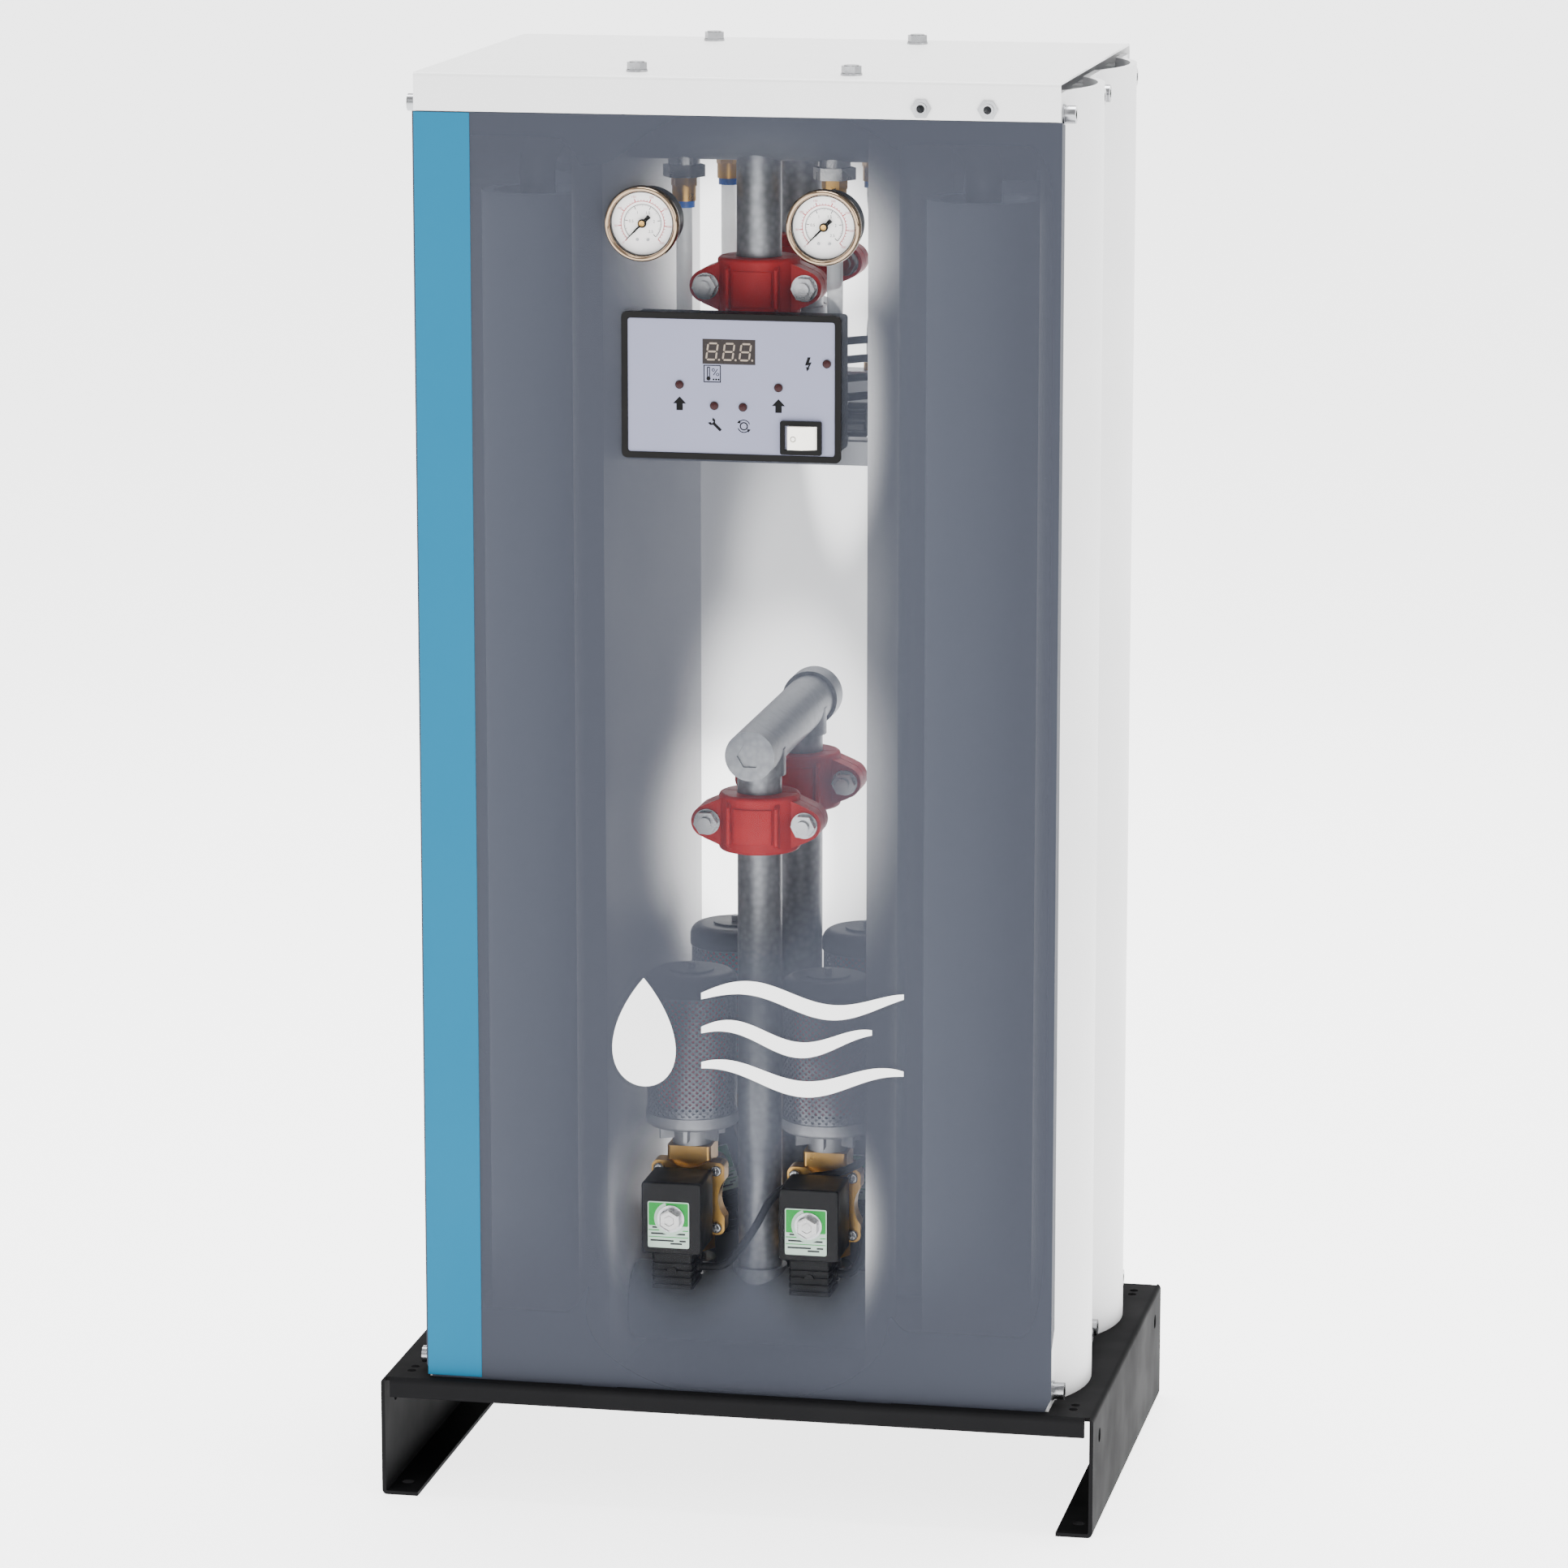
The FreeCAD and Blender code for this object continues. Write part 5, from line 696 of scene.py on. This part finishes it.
def jacket(x, y, z0, z1, r, name):
    """A rolled sheet with rows of round holes, each row set over by half a pitch."""
    clear_selection()
    rows, columns = 20, 40
    bpy.ops.mesh.primitive_cylinder_add(vertices=columns, radius=r * MM, depth=(z1 - z0) * MM,
                                        end_fill_type="NOTHING")
    sheet = bpy.context.object
    bpy.ops.object.mode_set(mode="EDIT")
    bpy.ops.mesh.select_all(action="DESELECT")
    bpy.ops.object.mode_set(mode="OBJECT")
    for edge in sheet.data.edges:
        a, b = (sheet.data.vertices[i].co for i in edge.vertices)
        edge.select = abs(a.z - b.z) > 1e-4
    bpy.ops.object.mode_set(mode="EDIT")
    bpy.ops.mesh.subdivide(number_cuts=rows - 1)
    bpy.ops.mesh.select_all(action="SELECT")
    bpy.ops.mesh.poke()
    bpy.ops.mesh.select_mode(type="EDGE")
    bpy.ops.mesh.select_all(action="DESELECT")
    bpy.ops.object.mode_set(mode="OBJECT")
    half = (z1 - z0) / 2 * MM
    for edge in sheet.data.edges:
        a, b = (sheet.data.vertices[i].co for i in edge.vertices)
        level = abs(a.z - b.z) < 1e-6
        upright = (a.xy - b.xy).length < 1e-6
        rim = level and abs(abs(a.z) - half) < 1e-6
        edge.select = (level or upright) and not rim
    bpy.ops.object.mode_set(mode="EDIT")
    bpy.ops.mesh.dissolve_edges(use_verts=False)
    bpy.ops.mesh.select_mode(type="FACE")
    bpy.ops.mesh.select_all(action="DESELECT")
    bpy.ops.object.mode_set(mode="OBJECT")
    for face in sheet.data.polygons:
        face.select = len(face.vertices) == 4
    bpy.ops.object.mode_set(mode="EDIT")
    bpy.ops.mesh.inset(thickness=0.46 * MM, use_individual=True)
    bpy.ops.mesh.delete(type="FACE")
    bpy.ops.object.mode_set(mode="OBJECT")
    smooth = sheet.modifiers.new("round_holes", "SUBSURF")
    smooth.levels = smooth.render_levels = 1
    wall = sheet.modifiers.new("sheet_thickness", "SOLIDIFY")
    wall.thickness = 0.8 * MM
    wall.offset = -1.0
    for modifier in ("round_holes", "sheet_thickness"):
        bpy.ops.object.modifier_apply(modifier=modifier)
    bpy.ops.object.mode_set(mode="EDIT")
    bpy.ops.mesh.select_all(action="SELECT")
    bpy.ops.mesh.normals_make_consistent(inside=False)
    bpy.ops.object.mode_set(mode="OBJECT")
    sheet.location = (x * MM, y * MM, (z0 + z1) / 2 * MM)
    return settle(sheet, name, finishes["mesh_steel"])


def stack_places():
    """Name, x and y of the four silencers, one above each valve, in mm."""
    low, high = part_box("silencer_jackets")
    left, right = low.x / MM + JACKET_R, high.x / MM - JACKET_R
    front, rear = low.y / MM + JACKET_R, high.y / MM - JACKET_R
    return [("front_left", left, front), ("front_right", right, front),
            ("rear_left", left, rear), ("rear_right", right, rear)]


def jackets():
    """A jacket for each silencer, in place of the plain CAD ones."""
    low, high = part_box("silencer_jackets")
    for name, x, y in stack_places():
        sheet = jacket(x, y, low.z / MM, high.z / MM, JACKET_R, f"jacket_{name}")
        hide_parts("silencer_jackets")


def valve_fronts(node):
    """Name, x and front depth of a node's solid at each of the four valves, in mm."""
    low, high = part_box("valve_coils")
    rear_shift = (high.y - low.y) / MM - COIL_DEPTH
    return [(name, x, low_y(node) + (rear_shift if name.startswith("rear") else 0))
            for name, x, _ in stack_places()]


# ------------------------------------------------------------------ coil labels
def coil_labels():
    """A green and white rating plate on the face of each coil, with rules and blocks in place of words."""
    white, green, grey = [], [], []
    for name, x, front in valve_fronts("valve_coils"):
        film = [flat_plate(rounded_bar(-2.0, -5.0, 32, 36, 1.5), 0, 0.08),
                flat_plate(arc_band(0, 0, 13.0, 10.2, 110, 320, 30), -0.13, 0.03)]
        band = [flat_plate(rounded_bar(-2.0, 3.2, 30.6, 18.0, 1.0), -0.09, 0.03),
                flat_plate(bar(-2.0, -9.3, 30.6, 0.8), -0.09, 0.03),
                flat_plate(bar(-2.0, -14.6, 30.6, 0.6), -0.09, 0.03)]
        rules = [flat_plate(bar(bx, bz, bw, 1.3), -0.09, 0.03) for bx, bz, bw in (
            (-6, -7.2, 17), (-9, -12.0, 13), (7, -12.0, 8), (-7, -17.4, 18), (9, -17.4, 5), (4, -19.6, 9))]
        for drawn, kept in ((film, white), (band, green), (rules, grey)):
            plate = merge(drawn)
            pick(plate)
            plate.location = (x * MM, (front - 0.02) * MM, VALVE_Z * MM)
            if name == "rear_left":
                plate.rotation_euler = (0, radians(-18), 0)
            bpy.ops.object.transform_apply(location=True, rotation=True, scale=True)
            kept.append(plate)
    settle(merge(white), "coil_plates", label_film)
    settle(merge(green), "coil_plate_bands", ink_green)
    settle(merge(grey), "coil_plate_rules", ink_grey)


def coil_nuts():
    """A nickel-plated hexagon nut on the end of each valve's stem, its face dished round a small boss."""
    nuts = []
    for _, x, front in valve_fronts("valve_bonnets"):
        clear_selection()
        place = (x * MM, (front + 3.2) * MM, VALVE_Z * MM)
        bpy.ops.mesh.primitive_cylinder_add(vertices=6, radius=8.6 * MM, depth=7.8 * MM,
                                            rotation=(pi / 2, 0, 0), location=place)
        nut = bpy.context.object
        choose_faces(nut, lambda centre, normal: normal.z > 0.9)
        bpy.ops.mesh.inset(thickness=1.1 * MM, depth=0.7 * MM)
        bpy.ops.mesh.inset(thickness=2.6 * MM)
        bpy.ops.mesh.inset(thickness=0.5 * MM, depth=-0.4 * MM)
        bpy.ops.object.mode_set(mode="OBJECT")
        # Hollow from behind, with room for the plunger.
        choose_faces(nut, lambda centre, normal: normal.z < -0.9)
        bpy.ops.mesh.inset(thickness=1.6 * MM)
        bpy.ops.mesh.inset(thickness=0.05 * MM, depth=-6.9 * MM)
        bpy.ops.object.mode_set(mode="OBJECT")
        nuts.append(nut)
    settle(merge(nuts), "coil_nuts", finishes["steel_fitting"])


# ------------------------------------------------------------------ cast details on the couplings
def coupling_pads():
    """A raised pad and two ribs on the front and back of each coupling, as cast."""
    low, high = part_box("coupling_halves")
    half_wide, half_high = 31, 22  # half of one coupling, front to back and up
    pads = []
    for y in (low.y / MM + half_wide, high.y / MM - half_wide):
        for z in (low.z / MM + half_high, high.z / MM - half_high):
            for turn in (0, pi):
                clear_selection()
                bpy.ops.mesh.primitive_cylinder_add(vertices=96, radius=32.6 * MM, depth=27 * MM)
                pad = bpy.context.object
                bpy.ops.object.mode_set(mode="EDIT")
                for point, normal in (((15 * MM, 0, 0), (1, 0, 0)), ((-15 * MM, 0, 0), (-1, 0, 0)),
                                      ((0, -27 * MM, 0), (0, 1, 0))):
                    bpy.ops.mesh.select_all(action="SELECT")
                    bpy.ops.mesh.bisect(plane_co=point, plane_no=normal, clear_outer=True, use_fill=True)
                bpy.ops.object.mode_set(mode="OBJECT")
                parts = [pad]
                for s in (-1, 1):
                    clear_selection()
                    bpy.ops.mesh.primitive_cube_add(size=1, location=(s * 18.5 * MM, -27.4 * MM, 0))
                    rib = bpy.context.object
                    rib.scale = (4.0 * MM, 6.4 * MM, 35 * MM)
                    pick(rib)
                    bpy.ops.object.transform_apply(location=True, rotation=True, scale=True)
                    choose_faces(rib, lambda centre, normal: normal.y < -0.9)
                    bpy.ops.transform.resize(value=(0.6, 1, 0.82))
                    bpy.ops.object.mode_set(mode="OBJECT")
                    parts.append(rib)
                piece = merge(parts)
                edge = piece.modifiers.new("cast_edge", "BEVEL")
                edge.width = 1.2 * MM
                edge.segments = 3
                edge.limit_method = "ANGLE"
                bpy.ops.object.modifier_apply(modifier="cast_edge")
                piece.rotation_euler = (0, 0, turn)
                piece.location = (0, y * MM, z * MM)
                pick(piece)
                bpy.ops.object.transform_apply(location=True, rotation=True, scale=True)
                pads.append(piece)
    whole = merge(pads)
    bpy.ops.object.shade_smooth_by_angle(angle=radians(35))
    settle(whole, "coupling_pads", finishes["coupling_red"])


emblem()
face_x, face_z = controller_face()
segment_digits(face_x, face_z)
lamp_domes(face_x, face_z)
rocker_marks()
for gauge_side in ("left", "right"):
    dial_print(gauge_side)
bezel_rings()
jackets()
coil_labels()
coil_nuts()
coupling_pads()

# ------------------------------------------------------------------ floor and air
clear_selection()
bpy.ops.mesh.primitive_plane_add(size=80, location=(0, 20, 0))
floor = bpy.context.object
floor.name = "studio_floor"
# A light table: it glows as white as the air behind the casing, so only a soft shadow shows on it.
glowing_white = {"Base Color": paint("#E8E8E8"), "Roughness": 0.9, "Specular IOR Level": 0.1,
                 "Emission Color": paint("#FFFFFF"), "Emission Strength": 3.2}
floor.data.materials.append(new_finish("studio_floor", glowing_white)[0])

world = bpy.data.worlds.new("studio_air")
world.use_nodes = True
world.node_tree.nodes["Background"].inputs["Color"].default_value = (1, 1, 1, 1)
world.node_tree.nodes["Background"].inputs["Strength"].default_value = 0.7
bpy.context.scene.world = world
